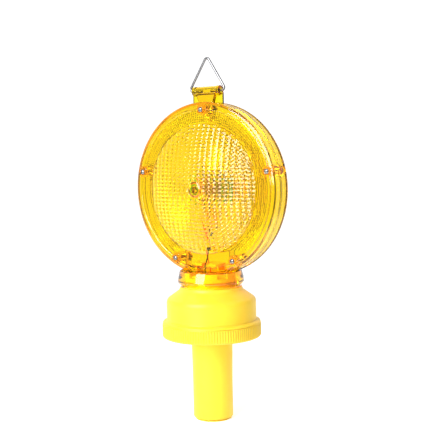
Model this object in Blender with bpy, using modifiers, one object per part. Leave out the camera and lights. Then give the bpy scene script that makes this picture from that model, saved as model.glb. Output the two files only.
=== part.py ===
"""Twin-lens warning lamp with a spigot base, as separate pieces on their real joints.

Sizes are in millimetres and become metres where a mesh is made. +Z is up, the front lens
faces -Y, and the spigot's end stands at z = 0.
"""

import math

import bmesh
import bpy
from mathutils import Matrix, Vector

MM = 0.001

# Facets around the large round pieces
LENS_STEPS = 48
BASE_STEPS = 40

# Clearances
GAP = 0.3  # between pieces that touch or nearly touch
TURN_GAP = 0.5  # between pieces that turn on each other
CUT = 5.0  # how far a cutter runs past what it cuts

# Battery cells
CELL_R = 17.1
CELL_LENGTH = 61.5
CELL_NUB = (4.7, 1.3)  # radius and height
CELL_ROOM = 2.1  # around a cell, where the negative strip runs
CELL_EXPOSED = 7.7  # how far the upper cell stands out of its sleeve

# Spigot, knurled collar and end plug
SPIGOT_LENGTH = 88.0
SPIGOT_WALL = 2.45
SPIGOT_DRAFT = 0.85  # how much wider the root is than the end
SPIGOT_EDGE = 2.0
SPIGOT_FOOT_Z = 2.0
SLEEVE_WALL = 2.0
COLLAR_PLATE = 3.0
COLLAR_HEIGHT = 14.9
COLLAR_WALL = 2.3
COLLAR_FILLET = 2.6
KNURL_RIBS = 116
KNURL_PROUD = 0.55
KNURL_MARGIN = 0.5  # of plain collar above the ribs
PLUG_FLOOR = 1.7
PLUG_SPIGOT = 3.2
PLUG_TABS = 4
PLUG_TAB = (1.6, 2.4, 1.5)  # reach, width and height
SPRING_WIRE_R = 0.55
SPRING_TURNS = 3.0
SPRING_R = (8.0, 5.0)  # at its foot and its top
SPRING_HEIGHT = 5.6
STRIP = (5.0, 0.4)  # width and thickness of the brass strips
RING_THICK = 0.5
RING_LAP = 0.6  # how far the ring's edges lie outside the cell and the sleeve

# Screw thread between collar and base: a round ridge on each
THREAD_PITCH = 4.0
THREAD_TURNS = 1.5
THREAD_RIDGE_R = 1.0
THREAD_CLEAR = 0.5
THREAD_START = 3.0  # above the collar's floor

# Base bowl
BOWL_R = 48.55
BOWL_WALL = 2.5
COLLAR_STEP = 4.55  # how far the collar stands out from the bowl
FLANGE_STEP = 0.4  # how far the flange stands out from the collar
SKIRT_LENGTH = 10.0
GASKET_WIDTH = 2.2
LEDGE_HEIGHT = 4.3
CONE_HEIGHT = 18.6  # from the shoulder to the waist
TOWER_R = 29.5
TOWER_WALL = 2.6
TOWER_HEIGHT = 15.4
TOWER_NOTCHES = 6
TOWER_NOTCH = (11.0, 5.0)  # width and depth
GROOVE_HEIGHT = 3.4  # above the waist
GROOVE_WIDTH = 3.0
GROOVE_DEPTH = 1.5
DECK_HEIGHT = 9.9
DECK_THICK = 1.8
DECK_LEDGE = 1.5
DECK_HOLE_R = 6.0
PHOTOCELL_R = 2.6
PHOTOCELL_Y = -17.0

# Electronics in the bowl
BOARD_THICK = 1.6
BOARD_RISE = 2.3  # from the cells' top to the board
BOARD_SCREW = (1.1, 5.6)  # radius and length
BOARD_POST_R = 3.2
HEADER = (9.0, 6.0, 5.0)
WIRE_PLUG = (7.4, 4.8, 5.5)
CHIP = (10.0, 6.4, 3.4)
CAPACITOR = (3.1, 6.6)
SWITCH = (12.0, 5.6, 4.6)
SLIDER = (3.6, 2.4, 6.4)
SWITCH_OUT = 5.2  # of the switch's middle from the sleeve
SWITCH_TRAVEL = 2.0

# Lens head. Heights on it are from the lens centre
HEAD_R = 92.5
RIM_DEPTH = 10.9
CREST_INSET = 6.0
CREST_DEPTH = 13.3
FACE_DEPTH = 12.7
PATTERN_INSET = 22.5
DOME_DEPTH = 26.4
BEAD = (8.5, 1.0)  # radius and height of the plain bead at the centre
LENS_WALL = 2.4
SEAM = 0.3  # gap between the halves
SIDE_STEP = 0.7  # how far the rim's side is let in behind its lips
NECK_LAP = 4.9  # how far the neck's top lies inside the rim
NECK_HEIGHT = 17.4
NECK_FLARE = 11.9  # from the neck's top down to its widest ring
NECK_ROOF = 2.0
MOUTH_HALF = 13.5
MOUTH_HEIGHT = 14.0

# Lens screws
SCREW_INSET = 8.1
SCREW_NAMES = ("top", "right", "left", "low_right", "low_left")
SCREW_ANGLES = (90.0, 12.8, 167.2, -63.3, -116.7)
SCREW_R = 1.5
SCREW_LENGTH = 17.0
SCREW_HEAD_R = 2.8
SCREW_HEAD = 1.7
BOSS_R = 6.4
PAD_R = 5.2
PAD_PROUD = 0.6
HOLE_TURN = 8.0  # turns a hole's facets off those of the round face that it is cut in

# Hanger barrel and wire bail
BARREL_RISE = 12.0  # of the barrel's axis above the rim
BARREL_R = 5.3
BARREL_LENGTH = 35.0
BAIL_WIRE_R = 1.35
BAIL_OVERHANG = 7.0  # of each bail corner past the barrel
BAIL_HEIGHT = 37.5
BAIL_CORNER = 3.0
BAIL_APEX = 3.2
BAIL_TAIL = 12.0
FRONT_WEB = (13.0, 4.6)  # half width and depth
REAR_WEB = (19.5, 3.0)

# Light-emitting board in the head
LED_BOARD = (34.0, 1.6, 17.0)
LED_R = 2.5
LED_HEIGHT = 8.0
STANDOFF_INSET = 4.5
STANDOFF_R = 2.8
LED_SCREW = (1.0, 9.0)  # radius and length
GUIDE_OVERLAP = 3.2  # of the guide past the mouth's sides
GUIDE_HALF = 9.0
GUIDE_RISE = 7.6  # of the guide's top above the neck's top
GUIDE_THICK = 3.0
GUIDE_SLOT = 9.0
WIRE_R = 0.65

# Worked out from the sizes above
SPIGOT_BORE_R = CELL_R + CELL_ROOM
SPIGOT_R = SPIGOT_BORE_R + SPIGOT_WALL
SPIGOT_ROOT_R = SPIGOT_R + SPIGOT_DRAFT
SLEEVE_R = SPIGOT_BORE_R + SLEEVE_WALL
PLUG_R = SPIGOT_R - SPIGOT_EDGE
CELL_FOOT_Z = PLUG_FLOOR + PLUG_SPIGOT + SPRING_HEIGHT + 3 * GAP
CELLS_TOP_Z = CELL_FOOT_Z + 2 * CELL_LENGTH + GAP
SLEEVE_TOP_Z = CELLS_TOP_Z - CELL_EXPOSED
COLLAR_Z = SPIGOT_FOOT_Z + SPIGOT_LENGTH
COLLAR_TOP_Z = COLLAR_Z + COLLAR_HEIGHT
COLLAR_FLOOR_Z = COLLAR_Z + COLLAR_PLATE
COLLAR_R = BOWL_R + COLLAR_STEP
COLLAR_BORE_R = COLLAR_R - COLLAR_WALL
RIDGE_REACH = THREAD_RIDGE_R * 0.7
THREAD_RISE = THREAD_PITCH * THREAD_TURNS
FLANGE_R = COLLAR_R + FLANGE_STEP
FLANGE_Z = COLLAR_TOP_Z + TURN_GAP
LEDGE_Z = FLANGE_Z + LEDGE_HEIGHT
SKIRT_R = COLLAR_BORE_R - THREAD_CLEAR - RIDGE_REACH
SKIRT_FOOT_Z = FLANGE_Z - SKIRT_LENGTH
BOARD_Z = CELLS_TOP_Z + BOARD_RISE
BOARD_TOP_Z = BOARD_Z + BOARD_THICK
BOARD_R = TOWER_R + 2.0
BOARD_POST_X = TOWER_R - 1.5
WAIST_R = TOWER_R + 3.9
WAIST_Z = BOARD_Z + 7.6
SHOULDER_Z = WAIST_Z - CONE_HEIGHT
TOWER_BORE_R = TOWER_R - TOWER_WALL
TOWER_TOP_Z = WAIST_Z + TOWER_HEIGHT
GROOVE_Z = WAIST_Z + GROOVE_HEIGHT
DECK_Z = WAIST_Z + DECK_HEIGHT
SWITCH_Y = -(SLEEVE_R + SWITCH_OUT)
CREST_R = HEAD_R - CREST_INSET
PATTERN_R = HEAD_R - PATTERN_INSET
SIDE_R = HEAD_R - SIDE_STEP
CAVITY_R = SIDE_R - LENS_WALL
SCREW_RING_R = HEAD_R - SCREW_INSET
NECK_TOP = HEAD_R - NECK_LAP
NECK_BOTTOM = NECK_TOP + NECK_HEIGHT
NECK_WIDE = NECK_TOP + NECK_FLARE
NECK_TOP_R = TOWER_R + 4.3
NECK_WIDE_R = TOWER_R + 6.5
NECK_BOTTOM_R = TOWER_R + 3.4
HEAD_Z = WAIST_Z + TURN_GAP + NECK_BOTTOM
BARREL_Z = HEAD_R + BARREL_RISE
BAIL_HALF = BARREL_LENGTH / 2 + BAIL_OVERHANG
STANDOFF_X = LED_BOARD[0] / 2 - STANDOFF_INSET
GUIDE_TOP = NECK_TOP - GUIDE_RISE
GUIDE_R = MOUTH_HALF + GUIDE_OVERLAP

FINISHES = {
    "amber": ((1.0, 0.62, 0.02), 0.12, 0.0),
    "yellow": ((1.0, 0.86, 0.05), 0.42, 0.0),
    "steel": ((0.72, 0.72, 0.74), 0.25, 1.0),
    "brass": ((0.80, 0.58, 0.22), 0.3, 1.0),
    "board": ((0.04, 0.20, 0.07), 0.45, 0.0),
    "black": ((0.02, 0.02, 0.02), 0.5, 0.0),
    "red": ((0.65, 0.02, 0.02), 0.45, 0.0),
    "clear": ((0.95, 0.9, 0.7), 0.08, 0.0),
    "white": ((0.85, 0.84, 0.8), 0.45, 0.0),
    "jacket": ((0.13, 0.14, 0.16), 0.35, 0.2),
    "rubber": ((0.03, 0.03, 0.03), 0.8, 0.0),
}


# Scene and materials


def clear_scene():
    for ob in list(bpy.data.objects):
        bpy.data.objects.remove(ob, do_unlink=True)


def collection(name):
    found = bpy.data.collections.new(name)
    bpy.context.scene.collection.children.link(found)
    return found


def finish_material(name):
    found = bpy.data.materials.get(name)
    if found:
        return found
    color, rough, metal = FINISHES[name]
    made = bpy.data.materials.new(name)
    made.use_nodes = True
    shader = made.node_tree.nodes["Principled BSDF"]
    shader.inputs["Base Color"].default_value = (*color, 1.0)
    shader.inputs["Roughness"].default_value = rough
    shader.inputs["Metallic"].default_value = metal
    return made


def pivot(name, z=0.0, turn=(0.0, 0.0, 0.0), parent=None):
    """An empty on a joint's axis, or one that carries a lens half's own axes."""
    made = bpy.data.objects.new(name, None)
    made.location = (0.0, 0.0, z * MM)
    made.rotation_euler = [math.radians(a) for a in turn]
    made.parent = parent
    PARTS.objects.link(made)
    return made


def add_object(name, mesh, finish=None, parent=None):
    """A part where a finish is named, and a cutter where it isn't."""
    made = bpy.data.objects.new(name, mesh)
    made.parent = parent
    if finish:
        mesh.materials.append(finish_material(finish))
        PARTS.objects.link(made)
    else:
        CUTTERS.objects.link(made)
        made.hide_render = True
        made.display_type = "WIRE"
    return made


def put(ob, x=0.0, y=0.0, z=0.0, turn=(0.0, 0.0, 0.0)):
    ob.location = (x * MM, y * MM, z * MM)
    ob.rotation_euler = [math.radians(a) for a in turn]
    return ob


def combine(ob, other, operation="DIFFERENCE"):
    step = ob.modifiers.new(other.name, "BOOLEAN")
    step.operation = operation
    step.object = other
    step.solver = "EXACT"
    return ob


# Shapes


def turned(name, outline, finish=None, parent=None, steps=64, ring=False):
    """A solid of revolution about local Z. The outline runs down its outer side."""
    points = [Vector((r * MM, 0.0, z * MM)) for r, z in outline]
    edges = [(i, i + 1) for i in range(len(points) - 1)]
    if ring:
        edges.append((len(points) - 1, 0))
    mesh = bpy.data.meshes.new(name)
    mesh.from_pydata(points, edges, [])
    made = add_object(name, mesh, finish, parent)
    screw = made.modifiers.new("Turn", "SCREW")
    screw.axis = "Z"
    screw.steps = steps
    screw.render_steps = steps
    screw.use_merge_vertices = True
    screw.merge_threshold = 0.000001
    screw.use_smooth_shade = True
    return made


def cylinder(name, radius, low, high, finish=None, parent=None, steps=32):
    """A cylinder along local Z from low to high."""
    outline = [(0.0, high), (radius, high), (radius, low), (0.0, low)]
    return turned(name, outline, finish, parent, steps)


def box(name, size, finish=None, parent=None, bevel=0.0):
    mesh = bpy.data.meshes.new(name)
    shape = bmesh.new()
    bmesh.ops.create_cube(shape, size=1.0)
    bmesh.ops.scale(shape, vec=[s * MM for s in size], verts=shape.verts)
    shape.to_mesh(mesh)
    shape.free()
    made = add_object(name, mesh, finish, parent)
    if bevel:
        edge = made.modifiers.new("Edges", "BEVEL")
        edge.width = bevel * MM
        edge.segments = 2
    return made


def strip(name, path, width, thick, finish, parent):
    """Sheet metal bent along a path in the XZ plane."""
    half = width * MM / 2
    points = [Vector((x * MM, side, z * MM)) for x, z in path for side in (-half, half)]
    faces = [(2 * i, 2 * i + 1, 2 * i + 3, 2 * i + 2) for i in range(len(path) - 1)]
    mesh = bpy.data.meshes.new(name)
    mesh.from_pydata(points, [], faces)
    made = add_object(name, mesh, finish, parent)
    sheet = made.modifiers.new("Sheet", "SOLIDIFY")
    sheet.thickness = thick * MM
    sheet.offset = 0.0
    return made


def tube(name, path, radius, finish=None, parent=None, sides=2):
    """A round wire along a path, as a mesh with closed ends."""
    curve = bpy.data.curves.new(name, "CURVE")
    curve.dimensions = "3D"
    curve.bevel_depth = radius * MM
    curve.bevel_resolution = sides
    curve.use_fill_caps = True
    spline = curve.splines.new("POLY")
    spline.points.add(len(path) - 1)
    for point, place in zip(spline.points, path):
        point.co = (*(v * MM for v in place), 1.0)
    drawn = bpy.data.objects.new(name + "_path", curve)
    PARTS.objects.link(drawn)
    bpy.context.view_layer.update()
    evaluated = drawn.evaluated_get(bpy.context.evaluated_depsgraph_get())
    mesh = bpy.data.meshes.new_from_object(evaluated)
    bpy.data.objects.remove(drawn, do_unlink=True)
    shape = bmesh.new()
    shape.from_mesh(mesh)
    bmesh.ops.remove_doubles(shape, verts=shape.verts, dist=0.000001)
    shape.to_mesh(mesh)
    shape.free()
    mesh.materials.clear()
    return add_object(name, mesh, finish, parent)


def helix(radius_low, radius_high, low, high, turns, per_turn=24):
    """Points of a right-hand helix, which climbs as it turns anticlockwise."""
    count = round(turns * per_turn)
    path = []
    for i in range(count + 1):
        share = i / count
        angle = 2 * math.pi * turns * share
        radius = radius_low + (radius_high - radius_low) * share
        height = low + (high - low) * share
        path.append((radius * math.cos(angle), radius * math.sin(angle), height))
    return path


def rounded(corners, per_arc=5):
    """A path through corners (x, z, radius) with each corner rounded to its radius."""
    path = []
    for i, (x, z, radius) in enumerate(corners):
        at = Vector((x, z))
        if not radius:
            path.append((x, 0.0, z))
            continue
        back = (Vector(corners[i - 1][:2]) - at).normalized()
        on = (Vector(corners[i + 1][:2]) - at).normalized()
        half = back.angle(on) / 2
        centre = at + (back + on).normalized() * (radius / math.sin(half))
        first = at + back * (radius / math.tan(half)) - centre
        last = at + on * (radius / math.tan(half)) - centre
        sweep = first.angle_signed(last)
        for k in range(per_arc + 1):
            angle = -sweep * k / per_arc
            turned_x = first.x * math.cos(angle) - first.y * math.sin(angle)
            turned_z = first.x * math.sin(angle) + first.y * math.cos(angle)
            path.append((centre.x + turned_x, 0.0, centre.y + turned_z))
    return path


def smooth_path(points, per_span=6):
    """A Catmull-Rom curve through points."""
    ends = [points[0], *points, points[-1]]
    path = []
    for a, b, c, d in zip(ends, ends[1:], ends[2:], ends[3:]):
        for k in range(per_span):
            t = k / per_span
            path.append(
                tuple(
                    0.5 * (2 * q + (r - p) * t + (2 * p - 5 * q + 4 * r - s) * t * t
                           + (3 * q - p - 3 * r + s) * t**3)
                    for p, q, r, s in zip(a, b, c, d)
                )
            )
    path.append(tuple(points[-1]))
    return path


def ring_places(radius, angles):
    for angle in angles:
        turn = math.radians(angle)
        yield angle, radius * math.cos(turn), radius * math.sin(turn)


# Spigot with cells


def knurl_ribs():
    """All the collar's ribs as one mesh of narrow blocks, sunk into the collar's side."""
    width = math.pi * COLLAR_R / KNURL_RIBS
    length = COLLAR_HEIGHT - COLLAR_FILLET + 0.6 - KNURL_MARGIN
    depth = 2 * KNURL_PROUD
    mesh = bpy.data.meshes.new("knurl_ribs")
    shape = bmesh.new()
    for i in range(KNURL_RIBS):
        turn = 2 * math.pi * (i + 0.5) / KNURL_RIBS
        block = bmesh.ops.create_cube(shape, size=1.0)["verts"]
        bmesh.ops.scale(shape, vec=[v * MM for v in (depth, width, length)], verts=block)
        outer = [v for v in block if v.co.x > 0]
        bmesh.ops.scale(shape, vec=(1.0, 0.55, 0.96), verts=outer)
        bmesh.ops.translate(shape, vec=(COLLAR_R * MM, 0.0, 0.0), verts=block)
        spin = Matrix.Rotation(turn, 3, "Z")
        bmesh.ops.rotate(shape, cent=(0, 0, 0), matrix=spin, verts=block)
    shape.to_mesh(mesh)
    shape.free()
    ribs = add_object("knurl_ribs", mesh)
    return put(ribs, z=COLLAR_TOP_Z - KNURL_MARGIN - length / 2)


def battery_tube():
    fillet = COLLAR_FILLET
    outline = [
        (SLEEVE_R, SLEEVE_TOP_Z),
        (SLEEVE_R, COLLAR_FLOOR_Z),
        (COLLAR_BORE_R, COLLAR_FLOOR_Z),
        (COLLAR_BORE_R, COLLAR_TOP_Z),
        (COLLAR_R, COLLAR_TOP_Z),
        (COLLAR_R, COLLAR_Z + fillet),
        (COLLAR_R - 0.3 * fillet, COLLAR_Z + 0.3 * fillet),
        (COLLAR_R - fillet, COLLAR_Z),
        (SPIGOT_ROOT_R, COLLAR_Z),
        (SPIGOT_R + 0.12 * SPIGOT_DRAFT, SPIGOT_FOOT_Z + 0.45 * SPIGOT_LENGTH),
        (SPIGOT_R, SPIGOT_FOOT_Z + SPIGOT_EDGE),
        (SPIGOT_R - 0.3 * SPIGOT_EDGE, SPIGOT_FOOT_Z + 0.3 * SPIGOT_EDGE),
        (SPIGOT_R - SPIGOT_EDGE, SPIGOT_FOOT_Z),
        (SPIGOT_BORE_R, SPIGOT_FOOT_Z),
        (SPIGOT_BORE_R, SLEEVE_TOP_Z),
    ]
    body = turned("battery_tube", outline, "yellow", steps=BASE_STEPS, ring=True)
    combine(body, knurl_ribs(), "UNION")
    centre_r = COLLAR_BORE_R + THREAD_RIDGE_R - RIDGE_REACH
    low = COLLAR_FLOOR_Z + THREAD_START
    path = helix(centre_r, centre_r, low, low + THREAD_RISE, THREAD_TURNS)
    combine(body, tube("collar_thread", path, THREAD_RIDGE_R, sides=1), "UNION")


def tube_plug():
    top = PLUG_FLOOR + PLUG_SPIGOT
    inner_r = SPIGOT_BORE_R - GAP
    edge = 0.5
    outline = [
        (0.0, top),
        (inner_r, top),
        (inner_r, PLUG_FLOOR),
        (PLUG_R, PLUG_FLOOR),
        (PLUG_R, edge),
        (PLUG_R - edge, 0.0),
        (0.0, 0.0),
    ]
    body = turned("tube_plug", outline, "yellow", steps=48)
    out, width, height = PLUG_TAB
    for angle, x, y in ring_places(PLUG_R, [20 + 360 * i / PLUG_TABS for i in range(PLUG_TABS)]):
        tab = box(f"plug_tab_{angle:.0f}", (2 * out, width, height))
        combine(body, put(tab, x, y, 0.1 + height / 2, (0, 0, angle)), "UNION")


def d_cell(name, foot):
    edge = 0.8
    nub_r, nub = CELL_NUB
    body = CELL_LENGTH - nub
    outline = [
        (0.0, CELL_LENGTH),
        (nub_r, CELL_LENGTH),
        (nub_r, body),
        (CELL_R - edge, body),
        (CELL_R, body - edge),
        (CELL_R, edge),
        (CELL_R - edge, 0.0),
        (0.0, 0.0),
    ]
    put(turned(name, outline, "jacket", steps=40), z=foot)


def contact_spring():
    low = PLUG_FLOOR + PLUG_SPIGOT + GAP + SPRING_WIRE_R
    high = low + SPRING_HEIGHT - 2 * SPRING_WIRE_R
    wide, narrow = SPRING_R
    tube("contact_spring", helix(wide, narrow, low, high, SPRING_TURNS, 16), SPRING_WIRE_R, "steel")


def negative_strip():
    """Brass strip from the spring up the bore to the ring on the sleeve's top."""
    width, thick = STRIP
    floor = PLUG_FLOOR + PLUG_SPIGOT + GAP + thick / 2
    wall = (CELL_R + SPIGOT_BORE_R) / 2
    path = [(SPRING_R[0] + 2.5, floor), (wall, floor), (wall, SLEEVE_TOP_Z)]
    strip("negative_strip", path, width, thick, "brass", None)


def contact_ring():
    low = SLEEVE_TOP_Z + GAP
    outline = [
        (SLEEVE_R + RING_LAP, low + RING_THICK),
        (SLEEVE_R + RING_LAP, low),
        (CELL_R + RING_LAP, low),
        (CELL_R + RING_LAP, low + RING_THICK),
    ]
    turned("contact_ring", outline, "brass", steps=48, ring=True)


# Base


def cap_gasket():
    inner_r = SKIRT_R - GASKET_WIDTH
    outline = [
        (SKIRT_R, SKIRT_FOOT_Z - GAP),
        (SKIRT_R, COLLAR_FLOOR_Z + GAP),
        (inner_r, COLLAR_FLOOR_Z + GAP),
        (inner_r, SKIRT_FOOT_Z - GAP),
    ]
    turned("cap_gasket", outline, "rubber", steps=64, ring=True)


def base_housing(parent):
    inner_r = BOWL_R - BOWL_WALL
    cone_low = WAIST_Z - 7.7
    outline = [
        (TOWER_R, TOWER_TOP_Z),
        (TOWER_R, GROOVE_Z + GROOVE_WIDTH),
        (TOWER_R - GROOVE_DEPTH, GROOVE_Z + GROOVE_WIDTH),
        (TOWER_R - GROOVE_DEPTH, GROOVE_Z),
        (TOWER_R, GROOVE_Z),
        (TOWER_R, WAIST_Z),
        (WAIST_R, WAIST_Z),
        (WAIST_R + 1.0, WAIST_Z - 2.3),
        (WAIST_R + 5.0, WAIST_Z - 6.6),
        (BOWL_R - 2.0, SHOULDER_Z + 5.5),
        (BOWL_R - 0.6, SHOULDER_Z + 3.6),
        (BOWL_R, SHOULDER_Z + 1.0),
        (BOWL_R, LEDGE_Z),
        (BOWL_R + 0.6, LEDGE_Z - 1.4),
        (FLANGE_R - 1.6, LEDGE_Z - 2.3),
        (FLANGE_R - 0.3, LEDGE_Z - 3.2),
        (FLANGE_R, FLANGE_Z + 0.4),
        (FLANGE_R - 0.4, FLANGE_Z),
        (SKIRT_R, FLANGE_Z),
        (SKIRT_R, SKIRT_FOOT_Z),
        (SKIRT_R - BOWL_WALL, SKIRT_FOOT_Z),
        (SKIRT_R - BOWL_WALL, FLANGE_Z - 1.0),
        (inner_r, LEDGE_Z),
        (inner_r, SHOULDER_Z),
        (WAIST_R + 5.0 - BOWL_WALL, cone_low),
        (TOWER_BORE_R - DECK_LEDGE, cone_low + 4.6),
        (TOWER_BORE_R - DECK_LEDGE, DECK_Z),
        (TOWER_BORE_R, DECK_Z),
        (TOWER_BORE_R, TOWER_TOP_Z),
    ]
    body = turned("base_housing", outline, "yellow", parent, steps=BASE_STEPS, ring=True)
    width, deep = TOWER_NOTCH
    for i in range(TOWER_NOTCHES):
        angle = 360 * (i + 0.5) / TOWER_NOTCHES
        turn = math.radians(angle)
        notch = box(f"tower_notch_{i + 1}", (8.0, width, 2 * deep), parent=parent)
        place = (TOWER_R * math.cos(turn), TOWER_R * math.sin(turn), TOWER_TOP_Z)
        combine(body, put(notch, *place, (0, 0, angle)))
    for side in (-1, 1):
        post = cylinder(f"base_post_{side}", BOARD_POST_R, BOARD_TOP_Z + GAP,
                        WAIST_Z - 1.5, parent=parent, steps=16)
        combine(body, put(post, BOARD_POST_X * side), "UNION")
        hole = cylinder(f"base_pilot_{side}", BOARD_SCREW[0] + GAP, BOARD_Z,
                        BOARD_Z + BOARD_SCREW[1], parent=parent, steps=12)
        combine(body, put(hole, BOARD_POST_X * side))
    centre_r = SKIRT_R - THREAD_RIDGE_R + RIDGE_REACH
    low = COLLAR_FLOOR_Z + THREAD_START + THREAD_PITCH / 2
    path = helix(centre_r, centre_r, low, low + THREAD_RISE, THREAD_TURNS)
    thread = tube("base_thread", path, THREAD_RIDGE_R, parent=parent, sides=1)
    combine(body, thread, "UNION")


def neck_deck(parent):
    low = DECK_Z + GAP
    high = low + DECK_THICK
    outline = [
        (TOWER_BORE_R - GAP, high),
        (TOWER_BORE_R - GAP, low),
        (DECK_HOLE_R, low),
        (DECK_HOLE_R, high),
    ]
    deck = turned("neck_deck", outline, "yellow", parent, steps=48, ring=True)
    seat = cylinder("photocell_seat", PHOTOCELL_R + GAP, low - CUT, high + CUT, parent=parent,
                    steps=20)
    combine(deck, put(seat, y=PHOTOCELL_Y))
    cell = [(0.0, high + 1.8), (PHOTOCELL_R - 0.7, high + 1.8), (PHOTOCELL_R, high + 1.1),
            (PHOTOCELL_R, low), (0.0, low)]
    put(turned("photocell", cell, "clear", parent, steps=20), y=PHOTOCELL_Y)


def control_board(parent):
    top = BOARD_TOP_Z
    board = cylinder("control_board", BOARD_R, BOARD_Z, top, "board", parent, steps=48)
    core, length = BOARD_SCREW
    for side in (-1, 1):
        hole = cylinder(f"board_hole_{side}", core + GAP, BOARD_Z - CUT, top + CUT,
                        parent=parent, steps=12)
        combine(board, put(hole, BOARD_POST_X * side))
        screw = [(0.0, length), (core, length), (core, 0.0), (2.4, 0.0), (2.4, -0.9),
                 (1.6, -1.5), (0.0, -1.5)]
        name = "board_screw_left" if side < 0 else "board_screw_right"
        put(turned(name, screw, "steel", parent, steps=16), BOARD_POST_X * side, z=BOARD_Z - GAP)
    header = box("wire_header", HEADER, "white", parent, 0.4)
    put(header, z=top + GAP + HEADER[2] / 2)
    plug = box("wire_plug", WIRE_PLUG, "white", parent, 0.4)
    put(plug, z=top + 2 * GAP + HEADER[2] + WIRE_PLUG[2] / 2)
    chip = box("flasher_chip", CHIP, "black", parent, 0.3)
    put(chip, 0.0, BOARD_R / 2, top + GAP + CHIP[2] / 2)
    can_r, can_height = CAPACITOR
    can = cylinder("timing_capacitor", can_r, top + GAP, top + GAP + can_height, "jacket", parent, 20)
    put(can, BOARD_R / 2, -BOARD_R / 3)


def switch(parent):
    """Slide switch that hangs from the board, reached with the base unscrewed."""
    body = box("switch_body", SWITCH, "steel", parent, 0.3)
    top = BOARD_Z - GAP
    put(body, 0.0, SWITCH_Y, top - SWITCH[2] / 2)
    slot_deep = 3.0
    slot_size = (SLIDER[0] + 2 * (SWITCH_TRAVEL + GAP), SLIDER[1] + 2 * GAP, 2 * slot_deep)
    slot = box("switch_slot", slot_size, parent=parent)
    combine(body, put(slot, 0.0, SWITCH_Y, top - SWITCH[2]))
    slider = box("switch_slider", SLIDER, "black", parent, 0.3)
    put(slider, 0.0, SWITCH_Y, top - SWITCH[2] + slot_deep - GAP - SLIDER[2] / 2)


def battery_contacts(parent):
    low = CELLS_TOP_Z + GAP
    outline = [(0.0, BOARD_Z - GAP), (2.2, BOARD_Z - GAP), (2.2, low + 1.0), (5.4, low + 1.0),
               (5.4, low), (0.0, low)]
    turned("positive_contact", outline, "brass", parent, steps=24)
    width, thick = STRIP
    rest = SLEEVE_TOP_Z + 2 * GAP + RING_THICK
    top = BOARD_Z - 2 * GAP
    path = [
        (SLEEVE_R + 6.8, top),
        (SLEEVE_R + 3.3, top),
        (SLEEVE_R - 1.2, rest + 0.5),
        (SLEEVE_R - 2.8, rest + 1.6),
    ]
    leaf = strip("negative_contact", path, width, thick, "brass", parent)
    put(leaf, turn=(0, 0, 100))


# Lens head


def lens_outline():
    dome = []
    rise = DOME_DEPTH - FACE_DEPTH
    sphere = (PATTERN_R**2 + rise**2) / (2 * rise)
    bead_r, bead_height = BEAD
    for r in (bead_r, 0.43 * PATTERN_R, 0.72 * PATTERN_R, PATTERN_R):
        dome.append((r, DOME_DEPTH - sphere + math.sqrt(sphere**2 - r**2)))
    bead = [(0.0, DOME_DEPTH + bead_height), (bead_r * 0.6, DOME_DEPTH + 0.6 * bead_height)]
    rim = [
        (CREST_R - 2.0, FACE_DEPTH),
        (CREST_R, CREST_DEPTH),
        (CREST_R + 3.0, CREST_DEPTH - 0.4),
        (HEAD_R - 0.8, RIM_DEPTH + 1.2),
        (HEAD_R, RIM_DEPTH),
        (HEAD_R, RIM_DEPTH - 2.0),
        (SIDE_R, RIM_DEPTH - 2.7),
        (SIDE_R, 3.2),
        (HEAD_R - 0.2, 2.6),
        (HEAD_R - 0.2, 0.0),
    ]
    return bead + dome + rim + [(0.0, 0.0)]


def cavity_outline():
    depth = FACE_DEPTH - LENS_WALL
    rise = DOME_DEPTH - FACE_DEPTH
    sphere = (PATTERN_R**2 + rise**2) / (2 * rise) - LENS_WALL
    points = [(0.0, DOME_DEPTH - LENS_WALL)]
    for r in (0.5 * PATTERN_R, PATTERN_R - 1.0):
        points.append((r, DOME_DEPTH - LENS_WALL - sphere + math.sqrt(sphere**2 - r**2)))
    edge = 1.2
    return points + [
        (CAVITY_R - edge, depth),
        (CAVITY_R, depth - edge),
        (CAVITY_R, -CUT),
        (0.0, -CUT),
    ]


def neck_shapes(name, side):
    """The neck's outer solid and its bore, both about the lamp's own axis."""
    outer = [
        (0.0, -NECK_TOP),
        (NECK_TOP_R - 1.0, -NECK_TOP),
        (NECK_TOP_R, -NECK_TOP - 0.8),
        (NECK_WIDE_R - 0.8, -NECK_WIDE + 4.9),
        (NECK_WIDE_R, -NECK_WIDE),
        (NECK_BOTTOM_R, -NECK_BOTTOM + 0.6),
        (NECK_BOTTOM_R - 0.5, -NECK_BOTTOM),
        (0.0, -NECK_BOTTOM),
    ]
    bore_r = TOWER_R + TURN_GAP
    rib_r = TOWER_R - GROOVE_DEPTH + TURN_GAP
    rib_low = GROOVE_Z + GAP - HEAD_Z
    rib_high = GROOVE_Z + GROOVE_WIDTH - GAP - HEAD_Z
    bore = [
        (0.0, -NECK_TOP - NECK_ROOF),
        (bore_r, -NECK_TOP - NECK_ROOF),
        (bore_r, rib_high),
        (rib_r, rib_high),
        (rib_r, rib_low),
        (bore_r, rib_low),
        (bore_r, -NECK_BOTTOM - CUT),
        (0.0, -NECK_BOTTOM - CUT),
    ]
    upright = (-90, 0, 0)
    solid = put(turned(name + "_neck", outer, parent=side, steps=BASE_STEPS), turn=upright)
    hollow = put(turned(name + "_neck_bore", bore, parent=side, steps=BASE_STEPS), turn=upright)
    return solid, hollow


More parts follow.
